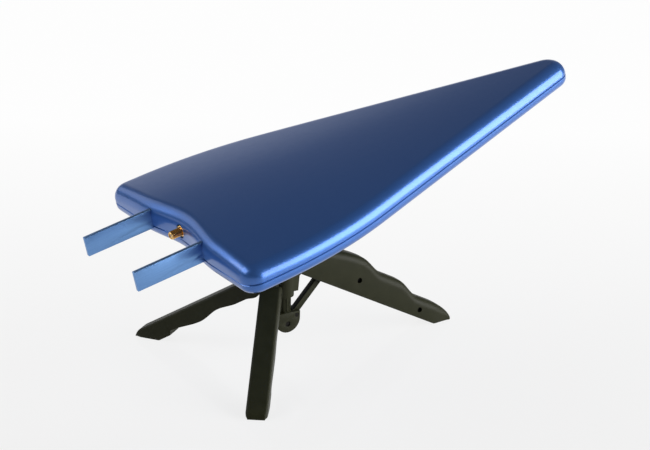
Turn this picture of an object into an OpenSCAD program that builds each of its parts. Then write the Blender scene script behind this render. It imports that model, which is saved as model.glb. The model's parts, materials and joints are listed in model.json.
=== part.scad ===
// Log-periodic measuring antenna in a flat two-part radome, on a folding grip tripod.
// Frame: +X is the way the antenna points, +Y its left, +Z up.
// The origin lies on the floor, on the axis of the tripod's post. Units are millimetres.

/* [Radome] */
// Length of the radome from its rear edge to the tip
shell_l = 338; // [300:1:380]
// Width of the radome at the rear
shell_w = 200; // [180:1:220]
// Distance from the rear edge to where the parallel sides start to bend
bend_x = 26; // [20:1:32]
// Radius that blends the parallel sides into the taper
bend_r = 288; // [220:1:320]
// Radius of the tip in plan
tip_r = 14.5; // [12.5:0.5:18]
// Radius of the rear corners in plan
corner_r = 12; // [11:0.5:16]
// Half the width of the hollow in the rear edge
recess_half = 52; // [46:1:70]
// Depth of the rear hollow at the parting line
recess_d = 4.5; // [3:0.5:6]
// How much deeper the rear hollow is at the top of the rails
recess_rake = 6.5; // [3:0.5:8]
// Height of the upper shell's sides above the parting line
upper_h = 10.6; // [10:0.1:12]
// Rounding of the upper edge
upper_round = 8; // [6:0.5:8.5]
// Rise of the arched top from its sides to the middle of the rear
upper_crown = 6.9; // [4:0.1:7.5]
// Depth of the lower shell's edge below the parting line
lower_h = 8; // [7.5:0.5:11]
// Rounding of the lower edge
lower_round = 6; // [4:0.5:7]
// Fall of the underside from its edge to the middle
lower_crown = 1.5; // [1:0.5:3]
// Bevel of each shell along the parting line
seam = 0.35; // [0.2:0.05:0.6]
// Thickness of the shells' flat walls
wall = 2.5; // [2:0.1:3]
// Width of the shells' edges, which clamp the board
edge_w = 7; // [6.5:0.1:8]

/* [Rear rails] */
// Distance between the middles of the two rails
rail_gap = 74; // [66:1:84]
// Thickness of a rail
rail_t = 3; // [2.5:0.1:3.5]
// Height of a rail
rail_h = 14.4; // [13.4:0.1:14.6]
// How far a rail reaches below the parting line
rail_drop = 2; // [1:0.1:2.4]
// Length of a rail behind the radome
rail_out = 50; // [35:1:60]
// Length of a rail inside the radome
rail_in = 24; // [20:1:30]

/* [Antenna inside] */
// Thickness of the circuit board
board_t = 1.6; // [1.2:0.1:2]
// Thickness of the copper
copper_t = 0.1; // [0.1:0.05:0.2]
// Where the board starts, from the rear edge
board_x = 34; // [33:1:40]
// Number of dipoles
dipoles = 15; // [10:1:17]
// Ratio of each dipole's length to the next longer one
dipole_ratio = 0.89; // [0.86:0.01:0.9]
// Half the length of the longest dipole
dipole_half = 72; // [62:1:73]
// Width of the feed line that carries the dipoles
boom_w = 6; // [5:0.5:8]
// Radius of the coaxial feed
coax_r = 1.1; // [0.9:0.1:1.4]

/* [Coaxial jack] */
// Height of the jack's axis above the parting line
jack_z = 6; // [5.6:0.1:6.4]
// Radius of the jack's threaded barrel
jack_r = 3.1; // [2.8:0.05:3.2]
// Length of the barrel in front of its nut
jack_out = 8.5; // [6:0.5:10]
// Distance of the jack's seat from the rear edge
jack_seat_x = 8.5; // [7.5:0.5:10]
// Width of the jack's nut across its flats
nut_af = 8; // [7.6:0.1:9]
// Thickness of the jack's nut
nut_t = 2.2; // [1.8:0.1:2.6]
// Thickness of the jack's washer
washer_t = 0.8; // [0.5:0.1:1]

/* [Tilt head] */
// Tilt of the antenna above the horizontal
pitch = 13.5; // [0:0.1:25]
// Height of the tilt axis above the floor
tilt_z = 98; // [96:1:104]
// Distance from the tilt axis to the parting plane
head_h = 24.5; // [23:0.5:30]
// Distance of the stand's screw from the radome's rear edge
stand_x = 84; // [72:1:95]
// Radius of the platform and its pad
platform_r = 16; // [14:0.5:18]
// Thickness of the rubber pad
pad_t = 1.5; // [1:0.1:2]
// Radius of the camera screw, quarter inch thread
stud_r = 3.12; // [3:0.02:3.15]
// Radius of the knuckle on the tilt axis
knuckle_r = 6; // [5.5:0.1:6.2]
// Radius of the tilt bolt
tilt_bolt_r = 2.5; // [2:0.1:3]
// Radius of the tilt knob
knob_r = 7.2; // [6.8:0.1:7.4]

/* [Tripod centre] */
// Radius of the centre post
post_r = 5; // [4.6:0.1:5.2]
// Radius of the crown's sleeve
sleeve_r = 7; // [6.8:0.1:7.4]
// Height of the sleeve's lower end
sleeve_z = 46; // [44:0.5:48]
// Height of the crown's flat top
crown_z = 86; // [84:0.5:87]
// Height of the hub's flat top
hub_z = 34; // [33:0.5:35]
// Depth of the hub
hub_d = 15; // [14:0.5:16]
// Half the length of the hub
hub_half = 10; // [9.5:0.1:10.4]
// Half the thickness of the hub
hub_t = 6; // [5.6:0.1:6.1]

/* [Front leg] */
// Distance of the front hinge from the post's axis
front_hinge_x = 14; // [13.5:0.1:15]
// Height of the front hinge
front_hinge_z = 71; // [70:0.5:73]
// Slope of the open front leg below the horizontal
front_slope = 28; // [27:0.1:29.5]
// Length of the front leg from its hinge
front_l = 147; // [143:0.5:150]
// Distance from the front hinge to the leg's lower edge
front_low = 9.4; // [9.2:0.1:9.8]
// Distance from the front hinge to the leg's highest ridge
front_top = 17.2; // [15.5:0.1:19]
// Width of the front leg
front_w = 18; // [17.6:0.1:20]
// Rounding of the front leg's ridge
front_round = 6; // [4:0.5:8]
// Depth of the first finger step
step_1 = 5.7; // [4:0.1:7]
// Depth of the second finger step
step_2 = 6.4; // [4:0.1:7]

/* [Strut] */
// Length of the strut between its pins
strut_l = 34; // [33:0.5:34.5]
// Rise of the strut when the leg is open
strut_rise = 47; // [45:0.5:48]
// Turn of the strut while the front leg folds
strut_turn = 25.8; // [25:0.1:26.4]
// Width of the strut
strut_w = 4.6; // [4:0.1:5]
// Thickness of the strut
strut_t = 5; // [4.4:0.1:5.2]

/* [Rear legs] */
// Angle of each rear leg's plane to the front
rear_angle = 126.5; // [125:0.5:129]
// Distance of the point where the rear planes meet, behind the post
rear_meet = 9.6; // [9:0.1:11]
// Distance of a rear hinge from that point
rear_hinge_r = 14; // [13.8:0.1:15]
// Height of the rear hinges
rear_hinge_z = 52.5; // [52:0.5:55]
// Slope of an open rear leg below the horizontal
rear_slope = 31.8; // [30.5:0.1:33]
// Length of a rear leg from its hinge
rear_l = 106; // [103:0.5:109]
// Depth of a rear leg
rear_d = 14; // [13.5:0.1:14.4]
// Width of a rear leg
rear_w = 15; // [14:0.1:15.4]
// Depth of the scallops under a rear leg
scallop_d = 4; // [2:0.1:4.4]

/* [Hardware] */
// Radius of the hinge pins
pin_r = 2; // [1.6:0.1:2.2]
// Radius of the strut's pins
strut_pin_r = 1.5; // [1.2:0.1:1.6]
// Radius of the small screws
screw_r = 1.2; // [1:0.1:1.3]
// Radius of the small screws' heads
screw_head_r = 2; // [1.8:0.05:2.2]
// Radial clearance of a turning pin
run_gap = 0.06; // [0.03:0.01:0.09]
// Clearance of fixed pieces that sit in each other
fit_gap = 0.05; // [0.03:0.01:0.1]
// Clearance between the sides of moving pieces
side_gap = 0.3; // [0.25:0.05:0.4]

/* [Hidden] */
$fn = 48;

// Colours of the finishes
blue_paint = "#2c4a86";
rail_blue = "#4a74ae";
gold = "#c9973f";
steel = "#b9bcc0";
black_nylon = "#2e2d27";
rubber_black = "#1b1b1b";
copper = "#b8683a";
board_green = "#2f5a3c";
white_ptfe = "#eeeeea";

// A length that cuts stand proud of what they cut
over = 1;
// Wall left at the blind end of a hole
end_wall = 1;
// Clearance around the board and its screws
board_gap = 0.4;
// How far a hinge pin's ends lie below the sides of its leg
pin_inset = 0.2;

// Radome outline in plan
half_w = shell_w / 2;
tip_x = shell_l - tip_r;
bend_run = tip_x - bend_x;
bend_drop = bend_r - half_w;
// Angle of the straight taper, which touches the bend's circle and the tip's circle
taper = asin((bend_r - tip_r) / norm([bend_run, bend_drop])) - atan2(bend_drop, bend_run);
bend_end_x = bend_x + bend_r * sin(taper);
spine_rear = 70;
spine_front = 40;
crown_steps = [0.8, 0.6, 0.4, 0.2];
// Radius of the arch across the upper shell's top
arch_r = half_w * half_w / (2 * upper_crown);
// Slim leaf along the middle of the top, where its facets meet
leaf_rear = 45;
leaf_front = 40;
leaf_half = 5;

function smooth(u) = let (v = min(max(u, 0), 1)) v * v * (3 - 2 * v);

function arc(cx, cy, r, a0, a1, n) =
  [for (i = [0:n]) let (a = a0 + (a1 - a0) * i / n) [cx + r * cos(a), cy + r * sin(a)]];

function rear_x(y, d, hollow) =
  d + hollow * (y < recess_half ? 0.5 + 0.5 * cos(180 * y / recess_half) : 0);

// Half width of the outline at a distance from the rear edge
function half_width(x) =
  x < bend_x ? half_w
  : x < bend_end_x ? half_w - bend_r + sqrt(bend_r * bend_r - (x - bend_x) * (x - bend_x))
  : (tip_r + (tip_x - x) * sin(taper)) / cos(taper);

// Left half of the outline, set in by d, from the middle of the rear edge to the tip
function half_outline(d, hollow) = concat(
  [for (i = [0:9]) let (y = (half_w - corner_r) * i / 10) [rear_x(y, d, hollow), y]],
  arc(corner_r, half_w - corner_r, corner_r - d, 180, 90, 5),
  arc(bend_x, half_w - bend_r, bend_r - d, 90, 90 - taper, 6),
  arc(tip_x, 0, tip_r - d, 90 - taper, 0, 6));

function outline(d, hollow) =
  let (left = half_outline(d, hollow), n = len(left))
  concat(left, [for (i = [n - 2:-1:1]) [left[i][0], -left[i][1]]]);

function at_height(ring, z) = [for (p = ring) [p[0], p[1], z]];

// A ring drawn in towards the spine along the middle of the shell
function drawn_in(ring, k, z) =
  [for (p = ring)
    let (s = min(max(p[0], spine_rear), shell_l - spine_front))
    [s + (p[0] - s) * k, p[1] * k, z]];

// Depth of the rear hollow at a height
function hollow_at(z) = recess_d + recess_rake * z / (rail_h - rail_drop);

// Height of the arched top over a point
function top_z(p) = upper_h + (pow(half_width(p[0]), 2) - p[1] * p[1]) / (2 * arch_r);

// Angle over which the upper edge is rounded at each point, so that it runs out into the arch
edge_0 = outline(0, 0);
edge_normal = edge_0 - outline(1, 0);
edge_n = len(edge_0);
round_end = [for (i = [0:edge_n - 1]) 90 - atan(edge_0[i][1] * edge_normal[i][1] / arch_r)];

// Ring of the upper edge's rounding, from the side wall at 0 to the top at 1
function round_ring(u) =
  [for (i = [0:edge_n - 1])
    let (end = round_end[i],
      a = u * end,
      rim = outline(upper_round * (1 - cos(end)), 0)[i],
      z = top_z(rim) - upper_round * (sin(end) - sin(a)),
      p = outline(upper_round * (1 - cos(a)), hollow_at(z))[i])
    [p[0], p[1], z]];

// Point of the leaf that a point of the edge is drawn towards
function leaf_point(i) =
  let (half = edge_n / 2, u = min(i, edge_n - i) / half, side = i > half ? -1 : 1)
  [leaf_rear + (shell_l - leaf_front - leaf_rear) * u, side * leaf_half * sin(180 * u)];

// Ring of the top, from the leaf at 0 to the rounded edge at 1
function top_ring(k) =
  let (rim = round_ring(1))
  [for (i = [0:edge_n - 1])
    let (q = leaf_point(i), p = q + ([rim[i][0], rim[i][1]] - q) * k) [p[0], p[1], top_z(p)]];

// Faces of a solid through equal rings; each ring turns clockwise seen from the last ring
function side_faces(n, rings) =
  [for (r = [0:rings - 2], i = [0:n - 1])
    let (j = (i + 1) % n, a = r * n, b = (r + 1) * n)
    each [[a + i, a + j, b + j], [a + i, b + j, b + i]]];

// A closed solid through equal rings, with a flat face at each end
module ring_solid(rings) {
  n = len(rings[0]);
  half = floor(n / 2);
  last = n * (len(rings) - 1);
  polyhedron(
    points = [for (r = rings) each r],
    faces = concat(
      side_faces(n, len(rings)),
      [[for (i = [n:-1:1]) (i + half) % n]],
      [[for (i = [0:n - 1]) last + (i + half) % n]]),
    convexity = 6);
}

// A closed solid through equal rings, whose last ring is a leaf closed by strips across it
module leaf_solid(rings) {
  n = len(rings[0]);
  half = n / 2;
  last = n * (len(rings) - 1);
  polyhedron(
    points = [for (r = rings) each r],
    faces = concat(
      side_faces(n, len(rings)),
      [[for (i = [n:-1:1]) (i + half) % n]],
      [[last, last + 1, last + n - 1]],
      [for (i = [1:half - 2]) [last + i, last + i + 1, last + n - i - 1, last + n - i]],
      [[last + half - 1, last + half, last + half + 1]]),
    convexity = 6);
}

// Places a piece that is modelled in the radome's own frame
module on_head() {
  translate([0, 0, tilt_z]) rotate([0, -pitch, 0]) children();
}

module on_antenna() {
  on_head() translate([-stand_x, 0, head_h]) children();
}

// Small screws that join the shells
shell_screw_inset = 9;
shell_screw_x = [13, 150];
tip_screw_x = tip_x;
shell_boss_r = 3.2;
shell_screw_xy = concat(
  [for (x = shell_screw_x, s = [1, -1]) [x, s * (half_width(x) - shell_screw_inset)]],
  [[tip_screw_x, 0]]);
screw_head_h = 2;
lower_floor = lower_h - wall;
upper_roof = upper_h - wall;
screw_seat_z = -(lower_floor - screw_head_h / 2);
screw_top_z = upper_roof - 2 * fit_gap;

// Block in the upper shell that grips each rail
rail_y = rail_gap / 2;
rail_block_wall = 4;
rail_block_l = rail_in + 2;
rail_block_half = rail_t / 2 + rail_block_wall;
rail_screw_x = rail_in - 7;
rail_screw_z = rail_h / 2 - rail_drop;

// Stand boss under the lower shell
boss_r = platform_r + 1;
boss_proud = 0.3;
boss_z = -(lower_h + lower_crown + boss_proud);
insert_r = 4.5;
insert_cover = 1.9;
insert_top = -(board_t / 2 + insert_cover);
insert_boss_r = 8;

// Jack pieces along the jack's axis
washer_r = 4.6;
spotface_r = 4.9;
jack_land = 2;
jack_inner_wall = recess_d + recess_rake + edge_w + jack_land;
jack_flange_t = 2.5;
jack_flange_r = 4.2;
jack_tail_l = 5;
jack_tail_r = 2;
jack_front_x = jack_seat_x - washer_t - nut_t - jack_out;
jack_back_x = jack_inner_wall + jack_flange_t;
jack_tail_x = jack_back_x + jack_tail_l;
insulator_end_x = jack_back_x - end_wall;
contact_inset = 1;
contact_front_x = jack_front_x + contact_inset;
dielectric_r = 2.05;
contact_r = 0.65;
contact_bore_r = 0.4;
thread_d = 0.4;
jack_root_r = jack_r - thread_d;

// Feed line and dipoles
apex_x = shell_l + 30;
arm_ratio = 0.022;
boom_start = board_x + 4;
boom_end = tip_x - 10;
first_dipole_x = board_x + 8;
feed_x = boom_end - 4;
feed_pin_r = 0.4;
coax_core_r = 0.3;
coax_bare_l = 2;
coax_bead = 0.15;
coax_z = board_t / 2 + copper_t + coax_r + coax_bead + fit_gap;
coax_kink_x = jack_tail_x + 2;
coax_slope_l = 12;

// Seat of the board, which reaches almost to the shell's outer wall
module board_seat(low, high) {
  translate([0, 0, low]) linear_extrude(high - low) polygon(outline(wall, recess_d));
}

// Hollow of a shell, inside the edge that clamps the board
module shell_hollow(low, high, rear) {
  translate([0, 0, low]) linear_extrude(high - low) polygon(outline(edge_w, rear));
}

module upper_rings_solid() {
  leaf_solid(concat(
    [at_height(outline(seam, recess_d), 0), at_height(outline(0, hollow_at(seam)), seam)],
    [for (u = [0:0.2:1]) round_ring(u)],
    [for (k = crown_steps) top_ring(k)],
    [top_ring(0)]));
}

module lower_rings_solid() {
  edge = outline(lower_round, recess_d);
  crowned = [for (i = [len(crown_steps) - 1:-1:0])
    let (k = crown_steps[i]) drawn_in(edge, k, -lower_h - lower_crown * (1 - k * k))];
  rounded = [for (a = [90:-18:18])
    let (z = -lower_h + lower_round - lower_round * sin(a))
    at_height(outline(lower_round * (1 - cos(a)), recess_d), z)];
  straight = [for (z = [-lower_h + lower_round, -seam]) at_height(outline(0, recess_d), z)];
  ring_0 = at_height(outline(seam, recess_d), 0);
  ring_solid(concat(crowned, rounded, straight, [ring_0]));
}

module at_shell_screws() {
  for (p = shell_screw_xy) translate([p[0], p[1], 0]) children();
}

module at_rails() {
  for (s = [1, -1]) translate([0, s * rail_y, 0]) children();
}

module along_x(x, y, z) {
  translate([x, y, z]) rotate([0, 90, 0]) children();
}

module along_y(x, y, z) {
  translate([x, y, z]) rotate([-90, 0, 0]) children();
}

module upper_shell() {
  color(blue_paint) on_antenna() difference() {
    upper_rings_solid();
    difference() {
      union() {
        board_seat(-over, board_t / 2);
        shell_hollow(board_t / 2 - fit_gap, upper_roof, recess_d + recess_rake + jack_land);
      }
      at_shell_screws() translate([0, 0, board_t / 2]) cylinder(r = shell_boss_r, h = upper_h);
      at_rails() translate([0, -rail_block_half, -over])
        cube([rail_block_l, 2 * rail_block_half, upper_h]);
    }
    at_shell_screws() translate([0, 0, -over])
      cylinder(r = screw_r + fit_gap, h = screw_top_z + over + fit_gap);
    at_rails() translate([-rail_out, -rail_t / 2 - fit_gap, -over])
      cube([rail_out + rail_in + fit_gap, rail_t + 2 * fit_gap, rail_h - rail_drop + over + fit_gap]);
    for (s = [1, -1]) mirror([0, s < 0 ? 1 : 0, 0])
      along_y(rail_screw_x, rail_y - rail_block_half - over, rail_screw_z)
        cylinder(r = screw_r + fit_gap, h = 2 * rail_block_half + over - end_wall);
    along_x(-over, 0, jack_z) cylinder(r = jack_r + fit_gap, h = jack_inner_wall + 2 * over);
    along_x(-over, 0, jack_z) cylinder(r = spotface_r, h = jack_seat_x + over);
    along_x(jack_inner_wall, 0, jack_z) cylinder(r = spotface_r, h = jack_flange_t + jack_tail_l);
  }
}

module lower_shell() {
  color(blue_paint) on_antenna() difference() {
    union() {
      lower_rings_solid();
      translate([stand_x, 0, boss_z]) cylinder(r = boss_r, h = -boss_z - lower_floor);
    }
    difference() {
      union() {
        board_seat(-board_t / 2, over);
        shell_hollow(-lower_floor, fit_gap - board_t / 2, recess_d);
      }
      at_shell_screws() translate([0, 0, -lower_h]) cylinder(r = shell_boss_r, h = lower_h - board_t / 2);
      translate([stand_x, 0, -lower_h]) cylinder(r = insert_boss_r, h = lower_h + insert_top);
    }
    at_shell_screws() translate([0, 0, -lower_h - lower_crown - over])
      cylinder(r = screw_r + fit_gap, h = lower_h + lower_crown + 2 * over);
    at_shell_screws() translate([0, 0, -lower_h - lower_crown - over])
      cylinder(r = screw_head_r + fit_gap, h = lower_h + lower_crown + over + screw_seat_z);
    at_rails() translate([-rail_out, -rail_t / 2 - fit_gap, -rail_drop - fit_gap])
      cube([rail_out + rail_in + fit_gap, rail_t + 2 * fit_gap, rail_drop + over]);
    translate([stand_x, 0, boss_z - over])
      cylinder(r = insert_r + fit_gap, h = insert_top - boss_z + 2 * over);
  }
}

// Screw with a pan head below and a shank that rises from it
module small_screw(shank_l) {
  translate([0, 0, -screw_head_h]) cylinder(r = screw_head_r, h = screw_head_h);
  cylinder(r = screw_r, h = shank_l);
}

module shell_screws() {
  color(steel) on_antenna() at_shell_screws() translate([0, 0, screw_seat_z])
    small_screw(screw_top_z - screw_seat_z - fit_gap);
}

module stand_insert() {
  color(gold) on_antenna() translate([stand_x, 0, boss_z]) difference() {
    cylinder(r = insert_r, h = insert_top - boss_z);
    translate([0, 0, -over]) cylinder(r = stud_r + fit_gap, h = insert_top - boss_z + 2 * over);
  }
}

module element_board() {
  color(board_green) on_antenna() difference() {
    translate([0, 0, -board_t / 2]) linear_extrude(board_t) polygon(outline(wall + board_gap, recess_d));
    translate([-over, -half_w - over, -board_t]) cube([board_x + over, shell_w + 2 * over, 2 * board_t]);
    at_shell_screws() translate([0, 0, -board_t]) cylinder(r = screw_r + board_gap, h = 2 * board_t);
    translate([feed_x, 0, -board_t]) cylinder(r = feed_pin_r + fit_gap, h = 2 * board_t);
  }
}

// One side of the printed antenna: a feed line with every dipole's arm, left and right in turn
module element_layer(first_side) {
  first_reach = apex_x - first_dipole_x;
  translate([boom_start, -boom_w / 2, 0]) cube([boom_end - boom_start, boom_w, copper_t]);
  for (i = [0:dipoles - 1]) {
    reach = first_reach * pow(dipole_ratio, i);
    arm_w = reach * arm_ratio;
    arm_l = dipole_half * reach / first_reach;
    side = first_side * (i % 2 == 0 ? 1 : -1);
    translate([apex_x - reach - arm_w / 2, side > 0 ? 0 : -arm_l, 0]) cube([arm_w, arm_l, copper_t]);
  }
}

module upper_elements() {
  color(copper) on_antenna() difference() {
    translate([0, 0, board_t / 2]) element_layer(1);
    translate([feed_x, 0, 0]) cylinder(r = 2 * feed_pin_r, h = board_t);
  }
}

module lower_elements() {
  color(copper) on_antenna() difference() {
    translate([0, 0, -board_t / 2 - copper_t]) element_layer(-1);
    translate([feed_x, 0, -board_t]) cylinder(r = feed_pin_r + fit_gap, h = board_t);
  }
}

// Feed from the jack, down to the board and along it to the pin through the last dipole
module feed_coax() {
  start_x = insulator_end_x + fit_gap;
  drop = jack_z - coax_z;
  pin_z = -board_t / 2 - copper_t;
  color(steel) on_antenna() {
    along_x(start_x, 0, jack_z) cylinder(r = coax_r, h = coax_kink_x - start_x);
    translate([coax_kink_x, 0, jack_z]) {
      sphere(r = coax_r + coax_bead);
      rotate([0, 90 + atan2(drop, coax_slope_l), 0]) cylinder(r = coax_r, h = norm([coax_slope_l, drop]));
    }
    translate([coax_kink_x + coax_slope_l, 0, coax_z]) {
      sphere(r = coax_r + coax_bead);
      rotate([0, 90, 0]) cylinder(r = coax_r, h = feed_x - coax_bare_l - coax_kink_x - coax_slope_l);
      rotate([0, 90, 0]) cylinder(r = coax_core_r, h = feed_x - coax_kink_x - coax_slope_l);
    }
    translate([feed_x, 0, pin_z]) cylinder(r = feed_pin_r, h = coax_z + feed_pin_r - pin_z);
  }
}

module jack_body() {
  color(gold) on_antenna() difference() {
    union() {
      along_x(jack_front_x, 0, jack_z) cylinder(r = jack_r, h = jack_out);
      along_x(jack_front_x, 0, jack_z) cylinder(r = jack_root_r, h = jack_back_x - jack_front_x);
      along_x(jack_inner_wall, 0, jack_z) cylinder(r = jack_flange_r, h = jack_flange_t);
      along_x(jack_back_x, 0, jack_z) cylinder(r = jack_tail_r, h = jack_tail_l);
    }
    along_x(jack_front_x - over, 0, jack_z)
      cylinder(r = dielectric_r + fit_gap, h = insulator_end_x - jack_front_x + over);
    along_x(insulator_end_x - over, 0, jack_z)
      cylinder(r = coax_r + fit_gap, h = jack_tail_x - insulator_end_x + 2 * over);
  }
}

module jack_insulator() {
  color(white_ptfe) on_antenna() difference() {
    along_x(contact_front_x, 0, jack_z) cylinder(r = dielectric_r, h = insulator_end_x - contact_front_x);
    along_x(jack_front_x, 0, jack_z) cylinder(r = contact_r + fit_gap, h = jack_back_x - jack_front_x);
  }
}

module jack_contact() {
  color(gold) on_antenna() difference() {
    along_x(contact_front_x, 0, jack_z) cylinder(r = contact_r, h = insulator_end_x - contact_front_x);
    along_x(jack_front_x, 0, jack_z) cylinder(r = contact_bore_r, h = jack_out / 2);
  }
}

module jack_nut() {
  color(gold) on_antenna() along_x(jack_seat_x - washer_t - nut_t, 0, jack_z) difference() {
    cylinder(r = nut_af / 2 / cos(30), h = nut_t, $fn = 6);
    translate([0, 0, -over]) cylinder(r = jack_root_r + fit_gap, h = nut_t + 2 * over);
  }
}

module jack_washer() {
  color(steel) on_antenna() along_x(jack_seat_x - washer_t, 0, jack_z) difference() {
    cylinder(r = washer_r, h = washer_t);
    translate([0, 0, -over]) cylinder(r = jack_r + fit_gap, h = washer_t + 2 * over);
  }
}

module rail(side) {
  color(rail_blue) on_antenna() difference() {
    translate([-rail_out, side * rail_y - rail_t / 2, -rail_drop]) cube([rail_out + rail_in, rail_t, rail_h]);
    along_y(rail_screw_x, side * rail_y - rail_t, rail_screw_z)
      cylinder(r = screw_r + fit_gap, h = 2 * rail_t);
  }
}

module left_rail() { rail(1); }

module right_rail() { rail(-1); }

module rail_screws() {
  color(steel) on_antenna() for (s = [1, -1]) mirror([0, s < 0 ? 1 : 0, 0])
    along_y(rail_screw_x, rail_y - rail_block_half, rail_screw_z)
      small_screw(2 * rail_block_half - end_wall - fit_gap);
}

// Tilt head: heights from the tilt axis, along the mount's axis
platform_top = head_h + boss_z - pad_t;
platform_t = 3.5;
platform_low = platform_top - platform_t;
stud_flange_r = 5;
stud_flange_t = 2;
knuckle_half = 7.7;
ear_in = knuckle_half + side_gap;
ear_t = 4;
ear_out = ear_in + ear_t;
yoke_base_t = 4;
yoke_r = 12;
yoke_screw_r = 2.4;
yoke_head_r = 4;
yoke_head_h = 2;
yoke_screw_z = crown_z - 12;
bolt_head_r = 4.5;
bolt_head_h = 3;
knob_l = 12;
knob_lobes = 6;
knob_collar = 3;
lobe_cut_r = 3;
lobe_cut_out = 1;
bolt_in_knob = knob_l - 2;

module platform() {
  color(black_nylon) on_head() difference() {
    union() {
      along_y(0, -knuckle_half, 0) cylinder(r = knuckle_r, h = 2 * knuckle_half);
      translate([-knuckle_r, -knuckle_half, 0])
        cube([2 * knuckle_r, 2 * knuckle_half, platform_low + fit_gap]);
      translate([0, 0, platform_low]) cylinder(r = platform_r, h = platform_t);
    }
    along_y(0, -knuckle_half - over, 0) cylinder(r = tilt_bolt_r + run_gap, h = 2 * knuckle_half + 2 * over);
    translate([0, 0, platform_top - stud_flange_t - fit_gap])
      cylinder(r = stud_flange_r + fit_gap, h = platform_t);
  }
}

module platform_pad() {
  color(rubber_black) on_head() translate([0, 0, platform_top]) difference() {
    cylinder(r = platform_r, h = pad_t);
    translate([0, 0, -over]) cylinder(r = stud_r + fit_gap, h = pad_t + 2 * over);
  }
}

module camera_stud() {
  stud_low = platform_top - stud_flange_t;
  stud_top = head_h + insert_top - over;
  color(steel) on_head() translate([0, 0, stud_low]) {
    cylinder(r = stud_flange_r, h = stud_flange_t);
    cylinder(r = stud_r, h = stud_top - stud_low);
  }
}

module yoke() {
  head_z = crown_z + yoke_base_t - yoke_head_h;
  color(black_nylon) difference() {
    union() {
      translate([0, 0, crown_z]) cylinder(r = yoke_r, h = yoke_base_t);
      for (y = [ear_in, -ear_out]) {
        translate([-knuckle_r, y, crown_z]) cube([2 * knuckle_r, ear_t, tilt_z - crown_z]);
        along_y(0, y, tilt_z) cylinder(r = knuckle_r, h = ear_t);
      }
    }
    along_y(0, -ear_out - over, tilt_z) cylinder(r = tilt_bolt_r + fit_gap, h = 2 * ear_out + 2 * over);
    translate([0, 0, crown_z - over]) cylinder(r = yoke_screw_r + fit_gap, h = yoke_base_t + 2 * over);
    translate([0, 0, head_z]) cylinder(r = yoke_head_r + fit_gap, h = yoke_head_h + over);
  }
}

module yoke_screw() {
  head_z = crown_z + yoke_base_t - yoke_head_h;
  color(steel) {
    translate([0, 0, head_z]) cylinder(r = yoke_head_r, h = yoke_head_h);
    translate([0, 0, yoke_screw_z]) cylinder(r = yoke_screw_r, h = head_z - yoke_screw_z);
  }
}

module tilt_bolt() {
  color(steel) {
    along_y(0, -ear_out - bolt_head_h, tilt_z) cylinder(r = bolt_head_r, h = bolt_head_h, $fn = 6);
    along_y(0, -ear_out, tilt_z) cylinder(r = tilt_bolt_r, h = 2 * ear_out + bolt_in_knob);
  }
}

// Lobed knob that locks the tilt
module tilt_knob() {
  color(black_nylon) along_y(0, ear_out + side_gap, tilt_z) difference() {
    cylinder(r = knob_r, h = knob_l);
    for (i = [0:knob_lobes - 1]) rotate(360 * i / knob_lobes)
      translate([knob_r + lobe_cut_out, 0, knob_collar]) cylinder(r = lobe_cut_r, h = knob_l);
    translate([0, 0, -over]) cylinder(r = tilt_bolt_r + run_gap, h = bolt_in_knob + over);
  }
}

// Tripod centre: the leg ends, the strut and the hub take their places from here
leg_wall = 2.5;
channel_half = front_w / 2 - leg_wall;
ear_play = 0.7;
ear_gap_half = strut_t / 2 + ear_play;
front_ear_out = channel_half - side_gap;
front_ear_r = 5;
lug_half = 3.2;
lug_r = 5;
slot_half = lug_half + side_gap;
pivot_x = 7.2;
pivot_drop = 2.8;
pivot_z = hub_z - pivot_drop;
spigot_r = 3.2;
spigot_floor = 3.5;
spigot_z = hub_z - hub_d + spigot_floor;
hub_screw_rise = 6.5;
hub_screw_z = hub_z - hub_d + hub_screw_rise;
hub_corner_r = 10;
hub_screw_sink = 0.8;
flutes = 12;
flute_r = 0.5;

module at_front_leg() {
  translate([front_hinge_x, 0, front_hinge_z]) rotate([0, front_slope, 0]) children();
}

module at_rear_leg(side) {
  translate([-rear_meet, 0, 0]) rotate([0, 0, side * rear_angle])
    translate([rear_hinge_r, 0, rear_hinge_z]) children();
}

// Arms that carry the two rear lugs, seen from above
module lug_plan() {
  for (s = [1, -1]) translate([-rear_meet, 0]) rotate(s * rear_angle)
    translate([-lug_half, -lug_half]) square([lug_half + rear_hinge_r, 2 * lug_half]);
  translate([-rear_meet, -lug_half]) square([rear_meet, 2 * lug_half]);
}

module crown() {
  web_low = sleeve_z + 4;
  color(black_nylon) difference() {
    union() {
      translate([0, 0, sleeve_z]) cylinder(r = sleeve_r, h = crown_z - sleeve_z);
      for (s = [1, -1]) mirror([0, s < 0 ? 1 : 0, 0]) {
        along_y(front_hinge_x, ear_gap_half, front_hinge_z)
          cylinder(r = front_ear_r, h = front_ear_out - ear_gap_half);
        translate([0, front_ear_out, 0]) rotate([90, 0, 0]) linear_extrude(front_ear_out - ear_gap_half)
          polygon([[0, web_low], [sleeve_r + 1, web_low], [sleeve_r + 2, front_hinge_z - 10],
            [front_hinge_x, front_hinge_z - front_ear_r], [front_hinge_x, front_hinge_z + front_ear_r],
            [0, front_hinge_z + front_ear_r + 4]]);
        at_rear_leg(1) along_y(0, -lug_half, 0) cylinder(r = lug_r, h = 2 * lug_half);
      }
      translate([0, 0, rear_hinge_z - lug_r]) linear_extrude(2 * lug_r) lug_plan();
    }
    translate([0, 0, sleeve_z - over]) cylinder(r = post_r + fit_gap, h = crown_z - sleeve_z + 2 * over);
    along_y(front_hinge_x, -front_ear_out - over, front_hinge_z)
      cylinder(r = pin_r + fit_gap, h = 2 * front_ear_out + 2 * over);
    for (s = [1, -1]) at_rear_leg(s) along_y(0, -lug_half - over, 0)
      cylinder(r = pin_r + fit_gap, h = 2 * lug_half + 2 * over);
  }
}

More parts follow.
